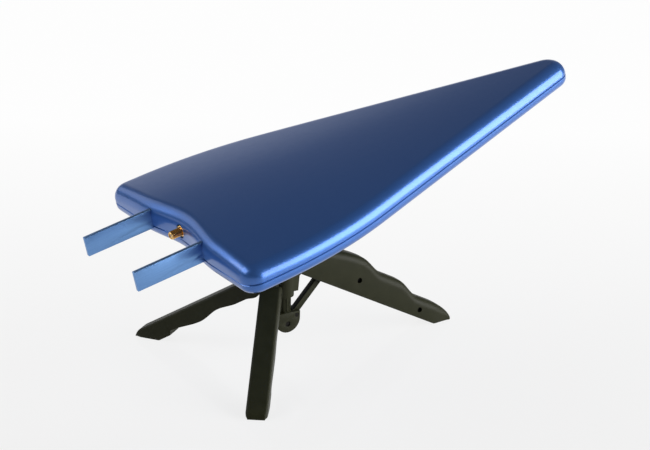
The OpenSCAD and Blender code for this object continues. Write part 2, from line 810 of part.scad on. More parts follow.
module center_post() {
  color(black_nylon) difference() {
    union() {
      translate([0, 0, hub_z]) cylinder(r = post_r, h = crown_z - hub_z);
      translate([0, 0, spigot_z]) cylinder(r = spigot_r, h = hub_z - spigot_z);
    }
    translate([0, 0, yoke_screw_z - over])
      cylinder(r = yoke_screw_r + fit_gap, h = crown_z - yoke_screw_z + 2 * over);
    along_y(0, -post_r, hub_screw_z) cylinder(r = screw_r + fit_gap, h = 2 * post_r);
    for (i = [0:flutes - 1]) rotate(360 * (i + 0.5) / flutes)
      translate([post_r, 0, hub_z + 1]) cylinder(r = flute_r, h = sleeve_z - hub_z, $fn = 16);
  }
}

module hub() {
  low = hub_z - hub_d;
  color(black_nylon) difference() {
    translate([0, hub_t, 0]) rotate([90, 0, 0]) linear_extrude(2 * hub_t) polygon(concat(
      [[hub_half, hub_z], [-hub_half, hub_z]],
      arc(-hub_half + hub_corner_r, low + hub_corner_r, hub_corner_r, 180, 270, 8),
      arc(hub_half - hub_corner_r, low + hub_corner_r, hub_corner_r, 270, 360, 8)));
    translate([0, 0, spigot_z - fit_gap]) cylinder(r = spigot_r + fit_gap, h = hub_d);
    translate([spigot_r + 0.3, -strut_t / 2 - side_gap, pivot_z - 4])
      cube([hub_half, strut_t + 2 * side_gap, hub_d]);
    along_y(pivot_x, -hub_t - over, pivot_z) cylinder(r = strut_pin_r + fit_gap, h = 2 * hub_t + 2 * over);
    along_y(0, -hub_t - over, hub_screw_z) cylinder(r = screw_r + fit_gap, h = 2 * hub_t + over - end_wall);
    along_y(0, -hub_t - over, hub_screw_z)
      cylinder(r = screw_head_r + fit_gap, h = over + screw_head_h + hub_screw_sink);
  }
}

module hub_screw() {
  sink = screw_head_h + hub_screw_sink;
  color(steel) along_y(0, -hub_t + sink, hub_screw_z) small_screw(2 * hub_t - sink - end_wall - fit_gap);
}

module strut() {
  eye_r = 3.2;
  color(black_nylon) translate([pivot_x, 0, pivot_z]) rotate([0, -strut_rise, 0]) difference() {
    union() {
      for (x = [0, strut_l]) along_y(x, -strut_t / 2, 0) cylinder(r = eye_r, h = strut_t);
      translate([0, -strut_t / 2, -strut_w / 2]) cube([strut_l, strut_t, strut_w]);
    }
    along_y(0, -strut_t, 0) cylinder(r = strut_pin_r + run_gap, h = 2 * strut_t);
    along_y(strut_l, -strut_t, 0) cylinder(r = strut_pin_r + fit_gap, h = 2 * strut_t);
  }
}

module strut_pivot_pin() {
  color(steel) along_y(pivot_x, -hub_t, pivot_z) cylinder(r = strut_pin_r, h = 2 * hub_t);
}

// Depth of the guide slots in the front leg's walls
cam_d = 1.2;

module strut_guide_pin() {
  half = channel_half + cam_d - side_gap;
  color(steel) translate([pivot_x, 0, pivot_z]) rotate([0, -strut_rise, 0])
    along_y(strut_l, -half, 0) cylinder(r = strut_pin_r, h = 2 * half);
}

// Path of the guide pin in the front leg, as a fold goes from 0 to 1
front_fold = 60;
function guide_at(t) =
  let (rise = strut_rise + strut_turn * t,
    a = front_slope + front_fold * t,
    dx = pivot_x + strut_l * cos(rise) - front_hinge_x,
    dz = pivot_z + strut_l * sin(rise) - front_hinge_z)
  [dx * cos(a) - dz * sin(a), dx * sin(a) + dz * cos(a)];

// Centre of the circle through three points
function circle_centre(p, q, r) =
  let (d = 2 * (p[0] * (q[1] - r[1]) + q[0] * (r[1] - p[1]) + r[0] * (p[1] - q[1])),
    pp = p * p, qq = q * q, rr = r * r)
  [(pp * (q[1] - r[1]) + qq * (r[1] - p[1]) + rr * (p[1] - q[1])) / d,
    (pp * (r[0] - q[0]) + qq * (p[0] - r[0]) + rr * (q[0] - p[0])) / d];

cam_start = guide_at(0);
cam_mid = guide_at(0.5);
cam_end = guide_at(1);
cam_centre = circle_centre(cam_start, cam_mid, cam_end);
cam_r = norm(cam_start - cam_centre);
cam_play = 0.6;
cam_half = strut_pin_r + cam_play;
// The slot's round ends are a trace narrower, so that they cross its walls cleanly
cam_ease = 0.02;
cam_a0 = atan2(cam_start[1] - cam_centre[1], cam_start[0] - cam_centre[0]);
cam_a1 = atan2(cam_end[1] - cam_centre[1], cam_end[0] - cam_centre[0]);
cam_sweep = (cam_a1 - cam_a0 + 360) % 360;

// Curved slot in the front leg's walls that guides the strut's upper pin
module cam_slot() {
  depth = 2 * (channel_half + cam_d);
  translate([cam_centre[0], depth / 2, cam_centre[1]]) rotate([90, 0, 0]) {
    rotate(cam_a0) rotate_extrude(angle = cam_sweep)
      translate([cam_r - cam_half, 0]) square([2 * cam_half, depth]);
    for (a = [cam_a0, cam_a1]) rotate(a) translate([cam_r, 0, 0]) cylinder(r = cam_half - cam_ease, h = depth);
  }
}

// A leg's solid from sections along it; each section has a flat foot and a rounded ridge
ridge_n = 5;
function leg_section(x, half, low, top, r) = concat(
  [[x, half, low], [x, -half, low]],
  [for (p = arc(-half + r, top - r, r, 180, 90, ridge_n)) [x, p[0], p[1]]],
  [for (p = arc(half - r, top - r, r, 90, 0, ridge_n)) [x, p[0], p[1]]]);

// Height, in a leg's own frame, of the floor under it
function floor_under(x, slope, hinge_z) = (x * sin(slope) - hinge_z) / cos(slope);

// Front leg: a round end, a rising ridge, two finger steps and a rounded toe
toe_l = 21;
toe_start = front_l - toe_l;
toe_tip = floor_under(front_l, front_slope, front_hinge_z);
grip_rise_l = 44;
step_1_x = 47;
step_2_x = 87;
step_l = 23;

function front_ridge(x) =
  front_low + (front_top - front_low) * sin(90 * min(max(x / grip_rise_l, 0), 1))
  - step_1 * smooth((x - step_1_x) / step_l) - step_2 * smooth((x - step_2_x) / step_l);

function front_top_at(x) =
  x < 0 ? sqrt(front_low * front_low - x * x)
  : x < toe_start ? front_ridge(x)
  : toe_tip + (front_ridge(toe_start) - toe_tip) * sqrt(1 - pow((x - toe_start) / toe_l, 2));

function front_low_at(x) =
  x < 0 ? -sqrt(front_low * front_low - x * x)
  : max(-front_low, floor_under(x, front_slope, front_hinge_z));

function front_half_at(x) = front_w / 2 - 2 * smooth((x - toe_start) / toe_l);

front_stations = concat(
  [for (a = [12:13:90]) -front_low * cos(a)],
  [for (x = [4:4:toe_start]) x],
  [for (u = [0.12:0.14:0.97]) toe_start + toe_l * u]);

module front_leg_solid() {
  ring_solid([for (x = front_stations)
    let (top = front_top_at(x), low = front_low_at(x))
    leg_section(x, front_half_at(x), low, top, min(front_round, 0.45 * (top - low)))]);
}

leg_screw_1_x = 50;
leg_screw_1_z = 1.2;
leg_screw_2_x = 114;
leg_screw_2_z = 3.3;
leg_screw_xz = [[leg_screw_1_x, leg_screw_1_z], [leg_screw_2_x, -leg_screw_2_z]];
leg_screw_sink = 4.5;
leg_screw_seat = front_w / 2 - leg_screw_sink;
channel_d = 6.8;
channel_roof = channel_d - front_low;
channel_end = 104;
cavity_end = 27;
cavity_roof = 6;
strut_room_end = 38;
strut_room_roof = 8.6;

module front_leg_body() {
  at_front_leg() difference() {
    front_leg_solid();
    translate([-2 * front_low, -channel_half, -2 * front_low])
      cube([2 * front_low + channel_end, 2 * channel_half, 2 * front_low + channel_roof]);
    translate([-2 * front_low, -channel_half, -2 * front_low])
      cube([2 * front_low + cavity_end, 2 * channel_half, 2 * front_low + cavity_roof]);
    translate([-2 * front_low, -strut_t / 2 - side_gap, -2 * front_low])
      cube([2 * front_low + strut_room_end, strut_t + 2 * side_gap, 2 * front_low + strut_room_roof]);
    cam_slot();
    along_y(0, -front_w, 0) cylinder(r = pin_r + run_gap, h = 2 * front_w);
    for (p = leg_screw_xz) {
      along_y(p[0], -front_w, p[1]) cylinder(r = screw_head_r + fit_gap, h = front_w - leg_screw_seat);
      along_y(p[0], -front_w, p[1]) cylinder(r = screw_r + fit_gap, h = front_w + leg_screw_seat);
    }
  }
}

module front_leg_left() {
  color(black_nylon) difference() {
    front_leg_body();
    translate([-front_l, -2 * front_w, -front_l]) cube([4 * front_l, 2 * front_w, 4 * front_l]);
  }
}

module front_leg_right() {
  color(black_nylon) difference() {
    front_leg_body();
    translate([-front_l, 0, -front_l]) cube([4 * front_l, 2 * front_w, 4 * front_l]);
  }
}

module front_leg_screws() {
  color(steel) at_front_leg() for (p = leg_screw_xz)
    along_y(p[0], -leg_screw_seat, p[1]) small_screw(2 * leg_screw_seat - fit_gap);
}

module front_hinge_pin() {
  half = front_w / 2 - pin_inset;
  color(steel) along_y(front_hinge_x, -half, front_hinge_z) cylinder(r = pin_r, h = 2 * half);
}

// Rear legs: a round end, a straight top, two long scallops below and a heel with a flat sole
rear_round = 2;
hump_1_x = 16;
notch_1_x = 32.5;
hump_2_x = 50;
notch_2_x = 76;
heel_l = 3;
rear_nose = 6;
nose_drop = 3;
// Share of the scallops' depth at each hump, notch and at the heel
hump_1 = 0.42;
notch_share = 0.9;
hump_2 = 0.17;
heel_share = 0.15;

function between(a, b, u) = a + (b - a) * smooth(u);

function scallop_at(x) =
  x < notch_1_x ? between(hump_1, notch_share, (x - hump_1_x) / (notch_1_x - hump_1_x))
  : x < hump_2_x ? between(notch_share, hump_2, (x - notch_1_x) / (hump_2_x - notch_1_x))
  : x < notch_2_x ? between(hump_2, notch_share, (x - hump_2_x) / (notch_2_x - hump_2_x))
  : between(notch_share, heel_share, (x - notch_2_x) / heel_l);

function rear_low_at(x) =
  x < 0 ? -sqrt(pow(rear_d / 2, 2) - x * x)
  : max(floor_under(x, rear_slope, rear_hinge_z),
    -rear_d / 2 + scallop_d * smooth(x / 8) * scallop_at(x));

function rear_top_at(x) =
  x < 0 ? sqrt(pow(rear_d / 2, 2) - x * x)
  : rear_d / 2 - nose_drop * pow(max(0, (x - rear_l + rear_nose) / rear_nose), 2);

rear_stations = concat(
  [for (a = [14:19:90]) -rear_d / 2 * cos(a)],
  [for (x = [3:3:notch_2_x - 1]) x],
  [for (u = [0:0.25:1]) notch_2_x + heel_l * u],
  [for (x = [notch_2_x + heel_l + 3:3:rear_l - rear_nose - 1]) x],
  [for (u = [0:0.25:1]) rear_l - rear_nose + rear_nose * u]);

module rear_leg(side) {
  color(black_nylon) at_rear_leg(side) rotate([0, rear_slope, 0]) difference() {
    ring_solid([for (x = rear_stations)
      let (top = rear_top_at(x), low = rear_low_at(x))
      leg_section(x, rear_w / 2, low, top, min(rear_round, 0.4 * (top - low)))]);
    translate([-rear_d, -slot_half, -rear_d])
      cube([rear_d + lug_r + 1, 2 * slot_half, rear_d + lug_r + 2 * side_gap]);
    along_y(0, -rear_w, 0) cylinder(r = pin_r + run_gap, h = 2 * rear_w);
  }
}

module left_leg() { rear_leg(1); }

module right_leg() { rear_leg(-1); }

module rear_hinge_pin(side) {
  half = rear_w / 2 - pin_inset;
  color(steel) at_rear_leg(side) along_y(0, -half, 0) cylinder(r = pin_r, h = 2 * half);
}

module left_hinge_pin() { rear_hinge_pin(1); }

module right_hinge_pin() { rear_hinge_pin(-1); }

upper_shell();
lower_shell();
element_board();
upper_elements();
lower_elements();
feed_coax();
jack_body();
jack_insulator();
jack_contact();
jack_nut();
jack_washer();
left_rail();
right_rail();
rail_screws();
shell_screws();
stand_insert();
platform();
platform_pad();
camera_stud();
yoke();
yoke_screw();
tilt_bolt();
tilt_knob();
crown();
center_post();
hub();
hub_screw();
strut();
strut_pivot_pin();
strut_guide_pin();
front_leg_left();
front_leg_right();
front_leg_screws();
front_hinge_pin();
left_leg();
right_leg();
left_hinge_pin();
right_hinge_pin();
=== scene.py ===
# %% [markdown]
# # A log-periodic antenna on a folding tripod
# The construction model gives every part its place and size. This lesson keeps those and gives
# the parts their real edges, their finishes and their light. Blender works in metres, so a
# length from a drawing is written in millimetres times MM.

# %% Load the frame
import json
import math

import bmesh
import bpy
from mathutils import Matrix, Quaternion, Vector


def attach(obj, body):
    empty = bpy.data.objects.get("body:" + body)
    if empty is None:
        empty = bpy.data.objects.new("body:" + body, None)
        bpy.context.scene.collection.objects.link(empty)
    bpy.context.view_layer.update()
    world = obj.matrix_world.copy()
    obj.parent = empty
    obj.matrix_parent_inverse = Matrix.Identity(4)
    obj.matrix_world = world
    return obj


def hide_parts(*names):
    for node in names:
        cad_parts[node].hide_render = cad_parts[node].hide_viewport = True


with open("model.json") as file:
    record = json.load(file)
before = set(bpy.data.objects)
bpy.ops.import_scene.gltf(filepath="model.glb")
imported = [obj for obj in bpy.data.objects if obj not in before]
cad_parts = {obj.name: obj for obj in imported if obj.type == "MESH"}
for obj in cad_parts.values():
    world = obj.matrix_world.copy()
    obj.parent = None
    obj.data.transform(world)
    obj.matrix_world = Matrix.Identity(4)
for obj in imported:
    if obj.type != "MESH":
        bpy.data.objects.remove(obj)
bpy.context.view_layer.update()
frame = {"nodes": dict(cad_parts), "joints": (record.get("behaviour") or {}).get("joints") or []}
nodes = frame["nodes"]
joints = {joint["name"]: joint for joint in frame["joints"]}
MM = 0.001

# %% [markdown]
# ## The camera
# The photo was taken with a long lens from behind the antenna, a little to its right and above
# it. The camera was found by fitting the radome's plan and the tripod's three feet, which rest
# on one floor. That fit also showed that the camera was held a little out of level.

# %% Camera
camera_data = bpy.data.cameras.new("camera")
camera_data.sensor_fit = "HORIZONTAL"
camera_data.sensor_width = 36
camera_data.lens = 110.77
camera_data.clip_end = 200
camera = bpy.data.objects.new("camera", camera_data)
bpy.context.scene.collection.objects.link(camera)
camera.location = (-0.6903, -1.1319, 0.5843)
look_at = Vector((0.0238, -0.0150, 0.0997))
level_view = (look_at - camera.location).to_track_quat("-Z", "Y")
CAMERA_ROLL = math.radians(1.26)
camera.rotation_euler = (level_view @ Quaternion((0, 0, 1), CAMERA_ROLL)).to_euler()
bpy.context.scene.camera = camera
print("camera is", round((look_at - camera.location).length, 3), "m from the antenna")

# %% [markdown]
# ## Colours and nodes
# Colours are picked as they look on a screen, and a renderer adds light in linear values, so
# one function turns the one into the other. A second small function adds a node, with its
# settings and its inputs, and returns it. A name such as _6 stands for an input's number.


# %% Colour and node helpers
def colour(hex_code):
    channels = [int(hex_code[i:i + 2], 16) / 255 for i in (1, 3, 5)]
    linear = [c / 12.92 if c <= 0.04045 else ((c + 0.055) / 1.055) ** 2.4 for c in channels]
    return (*linear, 1)


def add(tree, kind, settings=None, **inputs):
    node = tree.nodes.new(kind)
    for name, value in (settings or {}).items():
        setattr(node, name, value)
    for name, value in inputs.items():
        socket = node.inputs[int(name[1:])] if name[1:].isdigit() else node.inputs[name.replace("_", " ")]
        if isinstance(value, bpy.types.NodeSocket):
            tree.links.new(value, socket)
        else:
            socket.default_value = value
    return node


def new_material(name, **constants):
    material = bpy.data.materials.new(name)
    material.use_nodes = True
    shader = material.node_tree.nodes["Principled BSDF"]
    for key, value in constants.items():
        shader.inputs[key.replace("_", " ")].default_value = value
    return material, material.node_tree, shader


def plug_in(tree, shader, base, rough, relief):
    tree.links.new(base.outputs[2], shader.inputs["Base Color"])
    tree.links.new(rough.outputs[0], shader.inputs["Roughness"])
    tree.links.new(relief.outputs[0], shader.inputs["Normal"])


RGBA = {"data_type": "RGBA"}
print("helpers ready")

# %% [markdown]
# ## Blue metallic lacquer
# The radome is moulded plastic under a sprayed lacquer with fine metal flakes. The flakes make
# it act like a metal that is dark where it mirrors a dark place, and the clear coat over them
# adds a soft gloss. A plain glossy plastic would look too light on top. Fine noise gives the
# flakes, a slower one the slight orange peel, and the slowest the changes of gloss that
# spraying leaves. Real flakes are finer than these, which are drawn coarse so that they show.

# %% Lacquer
lacquer, tree, shader = new_material(
    "blue_metallic_lacquer", Metallic=0.6, Specular_IOR_Level=0.25,
    Coat_Weight=0.45, Coat_Roughness=0.08)
place = add(tree, "ShaderNodeTexCoord").outputs["Object"]
flakes = add(tree, "ShaderNodeTexNoise", Vector=place, Scale=1 / (0.35 * MM), Detail=3.0)
peel = add(tree, "ShaderNodeTexNoise", Vector=place, Scale=1 / (1.6 * MM), Detail=1.0)
cloud = add(tree, "ShaderNodeTexNoise", Vector=place, Scale=1 / (6 * MM), Detail=2.0)
base = add(tree, "ShaderNodeMix", RGBA, _0=flakes.outputs[0], _6=colour("#335c9f"), _7=colour("#406eb8"))
rough = add(tree, "ShaderNodeMapRange", Value=cloud.outputs[0], To_Min=0.28, To_Max=0.38)
relief = add(tree, "ShaderNodeBump", Height=peel.outputs[0], Distance=0.02 * MM, Strength=0.2)
plug_in(tree, shader, base, rough, relief)
print("made", lacquer.name)

# %% [markdown]
# ## Blue anodised bar
# The rails are cut from flat aluminium bar and anodised. The rolling direction shows as very
# fine lines along the bar, so the noise is turned by the antenna's pitch and stretched fifty
# times along the rail's length. The lines are drawn half a millimetre apart, which is coarser
# than on the bar, so that they show.

# %% Anodised bar
PITCH = math.radians(13.5)
anodised, tree, shader = new_material("blue_anodised_aluminium", Metallic=1.0)
place = add(tree, "ShaderNodeTexCoord").outputs["Object"]
along = add(
    tree, "ShaderNodeMapping", {"vector_type": "TEXTURE"}, Vector=place,
    Rotation=(0, -PITCH, 0), Scale=(50, 1, 1)).outputs[0]
lines = add(tree, "ShaderNodeTexNoise", Vector=along, Scale=1 / (0.5 * MM), Detail=3.0)
base = add(tree, "ShaderNodeMix", RGBA, _0=lines.outputs[0], _6=colour("#6087bb"), _7=colour("#779ed0"))
rough = add(tree, "ShaderNodeMapRange", Value=lines.outputs[0], To_Min=0.32, To_Max=0.46)
relief = add(tree, "ShaderNodeBump", Height=lines.outputs[0], Distance=0.01 * MM, Strength=0.3)
plug_in(tree, shader, base, rough, relief)
print("made", anodised.name)

# %% [markdown]
# ## Plated metals
# The jack is turned brass with a gold plating, and the screws are plated with nickel or
# blackened. Machining leaves fine marks and handling leaves a few duller spots, which is why
# the roughness and not only the colour varies. The three differ only in their numbers, so one
# loop makes them.

# %% Plated metals
plated = []
for name, spot_mm, dark, light, low, high in (
        ("gold_plated_brass", 1.2, "#d29a48", "#f6d494", 0.16, 0.30),
        ("nickel_plated_steel", 0.8, "#b9bbb8", "#d6d6d2", 0.22, 0.40),
        ("blackened_steel", 0.7, "#151514", "#262523", 0.38, 0.56)):
    metal, tree, shader = new_material(name, Metallic=1.0)
    place = add(tree, "ShaderNodeTexCoord").outputs["Object"]
    spots = add(tree, "ShaderNodeTexNoise", Vector=place, Scale=1 / (spot_mm * MM), Detail=3.0)
    marks = add(tree, "ShaderNodeTexNoise", Vector=place, Scale=1 / (0.2 * MM), Detail=2.0)
    base = add(tree, "ShaderNodeMix", RGBA, _0=spots.outputs[0], _6=colour(dark), _7=colour(light))
    rough = add(tree, "ShaderNodeMapRange", Value=spots.outputs[0], To_Min=low, To_Max=high)
    relief = add(tree, "ShaderNodeBump", Height=marks.outputs[0], Distance=0.01 * MM, Strength=0.2)
    plug_in(tree, shader, base, rough, relief)
    plated.append(metal)
gold, nickel, black_steel = plated
print("made", gold.name, nickel.name, black_steel.name)

# %% [markdown]
# ## Black nylon
# The tripod is moulded from glass-filled nylon. It is a warm black, not a pure one, and the
# mould is finely sparked, so it has an even small grain that catches the light on rounded
# edges. The grain is drawn coarser than it is, so that it shows. A slow noise makes the
# handled places a little smoother.

# %% Nylon
nylon, tree, shader = new_material("black_glass_filled_nylon", Specular_IOR_Level=0.12)
place = add(tree, "ShaderNodeTexCoord").outputs["Object"]
grain = add(tree, "ShaderNodeTexNoise", Vector=place, Scale=1 / (0.45 * MM), Detail=3.0)
cloud = add(tree, "ShaderNodeTexNoise", Vector=place, Scale=1 / (10 * MM), Detail=2.0)
base = add(tree, "ShaderNodeMix", RGBA, _0=cloud.outputs[0], _6=colour("#1e1f10"), _7=colour("#2a2b1c"))
rough = add(tree, "ShaderNodeMapRange", Value=cloud.outputs[0], To_Min=0.40, To_Max=0.54)
relief = add(tree, "ShaderNodeBump", Height=grain.outputs[0], Distance=0.05 * MM, Strength=0.35)
plug_in(tree, shader, base, rough, relief)
print("made", nylon.name)

# %% [markdown]
# ## Rubber, board, copper and insulator
# These are mostly hidden, but they show when the head is opened or seen from below. The pad's
# rubber has a fine crepe, the laminate shows its glass weave, the copper has dull patches and
# the insulator is white and waxy.

# %% Rubber
rubber, tree, shader = new_material("black_rubber")
place = add(tree, "ShaderNodeTexCoord").outputs["Object"]
crepe = add(tree, "ShaderNodeTexNoise", Vector=place, Scale=1 / (0.8 * MM), Detail=4.0)
base = add(tree, "ShaderNodeMix", RGBA, _0=crepe.outputs[0], _6=colour("#131312"), _7=colour("#20201f"))
rough = add(tree, "ShaderNodeMapRange", Value=crepe.outputs[0], To_Min=0.70, To_Max=0.90)
relief = add(tree, "ShaderNodeBump", Height=crepe.outputs[0], Distance=0.08 * MM, Strength=0.5)
plug_in(tree, shader, base, rough, relief)
print("made", rubber.name)

# %% Laminate
laminate, tree, shader = new_material("glass_laminate")
place = add(tree, "ShaderNodeTexCoord").outputs["Object"]
weave = add(tree, "ShaderNodeTexChecker", Vector=place, Scale=1 / (0.5 * MM))
cloud = add(tree, "ShaderNodeTexNoise", Vector=place, Scale=1 / (3 * MM), Detail=2.0)
base = add(tree, "ShaderNodeMix", RGBA, _0=weave.outputs[1], _6=colour("#24533a"), _7=colour("#2c6044"))
rough = add(tree, "ShaderNodeMapRange", Value=cloud.outputs[0], To_Min=0.30, To_Max=0.46)
relief = add(tree, "ShaderNodeBump", Height=weave.outputs[1], Distance=0.01 * MM, Strength=0.2)
plug_in(tree, shader, base, rough, relief)
print("made", laminate.name)

# %% Copper
copper, tree, shader = new_material("etched_copper", Metallic=1.0)
place = add(tree, "ShaderNodeTexCoord").outputs["Object"]
spots = add(tree, "ShaderNodeTexNoise", Vector=place, Scale=1 / (4 * MM), Detail=4.0)
base = add(tree, "ShaderNodeMix", RGBA, _0=spots.outputs[0], _6=colour("#a5613a"), _7=colour("#c87d50"))
rough = add(tree, "ShaderNodeMapRange", Value=spots.outputs[0], To_Min=0.28, To_Max=0.50)
relief = add(tree, "ShaderNodeBump", Height=spots.outputs[0], Distance=0.01 * MM, Strength=0.2)
plug_in(tree, shader, base, rough, relief)
print("made", copper.name)

# %% Insulator
ptfe, tree, shader = new_material("white_fluoropolymer", Subsurface_Weight=0.2)
place = add(tree, "ShaderNodeTexCoord").outputs["Object"]
cloud = add(tree, "ShaderNodeTexNoise", Vector=place, Scale=1 / (2 * MM), Detail=2.0)
base = add(tree, "ShaderNodeMix", RGBA, _0=cloud.outputs[0], _6=colour("#e4e2da"), _7=colour("#f0efe9"))
rough = add(tree, "ShaderNodeMapRange", Value=cloud.outputs[0], To_Min=0.38, To_Max=0.54)
relief = add(tree, "ShaderNodeBump", Height=cloud.outputs[0], Distance=0.01 * MM, Strength=0.2)
plug_in(tree, shader, base, rough, relief)
print("made", ptfe.name)

# %% [markdown]
# ## Making meshes
# A loft starts as one flat face that is extruded from ring to ring, which is how a moulded
# part with a changing section is drawn. Holes are cut with exact Booleans. Small machined
# parts start from the construction mesh: its doubled points are merged, its flat faces joined,
# and its sharp edges broken with a narrow bevel that catches the light.


# %% Lofts and solids
def loft(rings):
    bm = bmesh.new()
    face = bm.faces.new([bm.verts.new(point) for point in rings[0]])
    for ring in rings[1:]:
        made = bmesh.ops.extrude_face_region(bm, geom=[face, *face.edges])["geom"]
        face = next(item for item in made if isinstance(item, bmesh.types.BMFace))
        for vert, point in zip(face.verts, ring):
            vert.co = point
    bmesh.ops.recalc_face_normals(bm, faces=bm.faces)
    return bm, face


def solid(name, bm, place=None):
    if place:
        bmesh.ops.transform(bm, matrix=place, verts=bm.verts)
    bmesh.ops.recalc_face_normals(bm, faces=bm.faces)
    mesh = bpy.data.meshes.new(name)
    bm.to_mesh(mesh)
    bm.free()
    piece = bpy.data.objects.new(name, mesh)
    bpy.context.scene.collection.objects.link(piece)
    return piece


def box(low, high):
    bm = bmesh.new()
    bmesh.ops.create_cube(bm, size=1)
    middle = (Vector(low) + Vector(high)) / 2
    size = Vector(high) - Vector(low)
    for vert in bm.verts:
        vert.co = middle + Vector(a * b for a, b in zip(vert.co, size))
    return bm


def rod(radius, start, end, segments=48):
    bm = bmesh.new()
    start = Vector(start)
    along = Vector(end) - start
    turn = Vector((0, 0, 1)).rotation_difference(along).to_matrix().to_4x4()
    bmesh.ops.create_cone(
        bm, cap_ends=True, segments=segments, radius1=radius, radius2=radius, depth=along.length,
        matrix=Matrix.Translation(start + along / 2) @ turn)
    return bm


def slab(outline, half):
    return loft([[(x, y, z) for x, z in outline] for y in (-half, half)])[0]


print("loft, solid, box, rod and slab are ready")


# %% Cuts and broken edges
MERGE = 0.003 * MM
FLAT_ANGLE = math.radians(0.5)
SHARP_ANGLE = math.radians(40)


def combine(piece, bm, place=None, operation="DIFFERENCE"):
    tool = solid("tool", bm, place)
    step = piece.modifiers.new("step", "BOOLEAN")
    step.object = tool
    step.operation = operation
    step.solver = "EXACT"
    graph = bpy.context.evaluated_depsgraph_get()
    result = bpy.data.meshes.new_from_object(piece.evaluated_get(graph))
    piece.modifiers.remove(step)
    before = piece.data
    piece.data = result
    bpy.data.meshes.remove(before)
    bpy.data.objects.remove(tool)


def softened(node, width_mm):
    bm = bmesh.new()
    bm.from_mesh(nodes[node].data)
    bmesh.ops.remove_doubles(bm, verts=bm.verts, dist=MERGE)
    bmesh.ops.dissolve_limit(bm, angle_limit=FLAT_ANGLE, verts=bm.verts, edges=bm.edges)
    sharp = [e for e in bm.edges if e.is_manifold and e.calc_face_angle() > SHARP_ANGLE]
    bmesh.ops.bevel(
        bm, geom=sharp, offset=width_mm * MM, offset_type="OFFSET", segments=2, profile=0.5,
        affect="EDGES", clamp_overlap=True, material=-1)
    return bm


print("combine and softened are ready")


# %% Finishing a piece
def volume_of(mesh):
    bm = bmesh.new()
    bm.from_mesh(mesh)
    volume = bm.calc_volume() / MM ** 3
    bm.free()
    return round(volume)


def dress(piece, material, body, slot, *replaced, angle=32):
    mesh = piece.data
    mesh.materials.clear()
    mesh.materials.append(material)
    mesh.polygons.foreach_set("use_smooth", [True] * len(mesh.polygons))
    mesh.polygons.foreach_set("material_index", [0] * len(mesh.polygons))
    mesh.set_sharp_from_angle(angle=math.radians(angle))
    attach(piece, body)
    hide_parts(*replaced)
    print("made", piece.name, "with", len(mesh.polygons), "faces,", volume_of(mesh), "cubic mm")


def coat(material, *names):
    for name in names:
        mesh = nodes[name].data
        mesh.materials.clear()
        mesh.materials.append(material)
    print("finished", *names, "as", material.name)


print("dress and coat are ready")

# %% [markdown]
# ## The radome's outline
# In plan the radome is a plate with straight sides, a long bend and a taper to a round tip.
# The rear edge is hollowed in the middle, and its wall leans, so the hollow is deeper at the
# top. Each point of the outline knows which way is outwards and how much it shares in the
# hollow, so that one function gives the ring at any inset and height.

# %% Radome outline
SHELL_LENGTH = 338 * MM
HALF_WIDTH = 100 * MM
BEND_X = 26 * MM
BEND_RADIUS = 288 * MM
TIP_RADIUS = 14.5 * MM
CORNER_RADIUS = 12 * MM
RECESS_HALF = 52 * MM
RECESS = 4.5 * MM
RAKE = 1 * MM
RAKE_RISE = 4.5 * MM
TIP_X = SHELL_LENGTH - TIP_RADIUS
BEND_RUN = TIP_X - BEND_X
BEND_DROP = BEND_RADIUS - HALF_WIDTH
BEND_REACH = math.hypot(BEND_RUN, BEND_DROP)
TAPER = math.asin((BEND_RADIUS - TIP_RADIUS) / BEND_REACH) - math.atan2(BEND_DROP, BEND_RUN)
BEND_END_X = BEND_X + BEND_RADIUS * math.sin(TAPER)


def arc(x, y, radius, start, end, steps):
    turns = [start + (end - start) * i / steps for i in range(steps + 1)]
    rays = [(math.cos(turn), math.sin(turn)) for turn in turns]
    return [(x + radius * nx, y + radius * ny, nx, ny, 0) for nx, ny in rays]


def left_outline():
    points = []
    for i in range(24):
        y = (HALF_WIDTH - CORNER_RADIUS) * i / 24
        share = 0.5 + 0.5 * math.cos(math.pi * y / RECESS_HALF) if y < RECESS_HALF else 0
        points.append((0, y, -1, 0, share))
    quarter = math.pi / 2
    points += arc(CORNER_RADIUS, HALF_WIDTH - CORNER_RADIUS, CORNER_RADIUS, math.pi, quarter, 14)
    for i in range(1, 6):
        points.append((CORNER_RADIUS + (BEND_X - CORNER_RADIUS) * i / 6, HALF_WIDTH, 0, 1, 0))
    bend = arc(BEND_X, HALF_WIDTH - BEND_RADIUS, BEND_RADIUS, quarter, quarter - TAPER, 18)
    tip = arc(TIP_X, 0, TIP_RADIUS, quarter - TAPER, 0, 16)
    for i in range(1, 16):
        x, y = Vector(bend[-1][:2]).lerp(Vector(tip[0][:2]), i / 16)
        bend.append((x, y, math.sin(TAPER), math.cos(TAPER), 0))
    return points + bend + tip


left = left_outline()
PLAN = left + [(x, -y, nx, -ny, share) for x, y, nx, ny, share in reversed(left[1:-1])]


def ring(inset, z, hollow):
    return [(x - inset * nx + hollow * share, y - inset * ny, z) for x, y, nx, ny, share in PLAN]


def raked(z):
    return RECESS + RAKE * (1 - math.exp(-z / RAKE_RISE))


def half_width(x):
    if x < BEND_X:
        return HALF_WIDTH
    if x < BEND_END_X:
        return HALF_WIDTH - BEND_RADIUS + math.sqrt(BEND_RADIUS ** 2 - (x - BEND_X) ** 2)
    return (TIP_RADIUS + (TIP_X - x) * math.sin(TAPER)) / math.cos(TAPER)


print("the outline has", len(PLAN), "points and tapers by", round(math.degrees(TAPER), 2), "degrees")

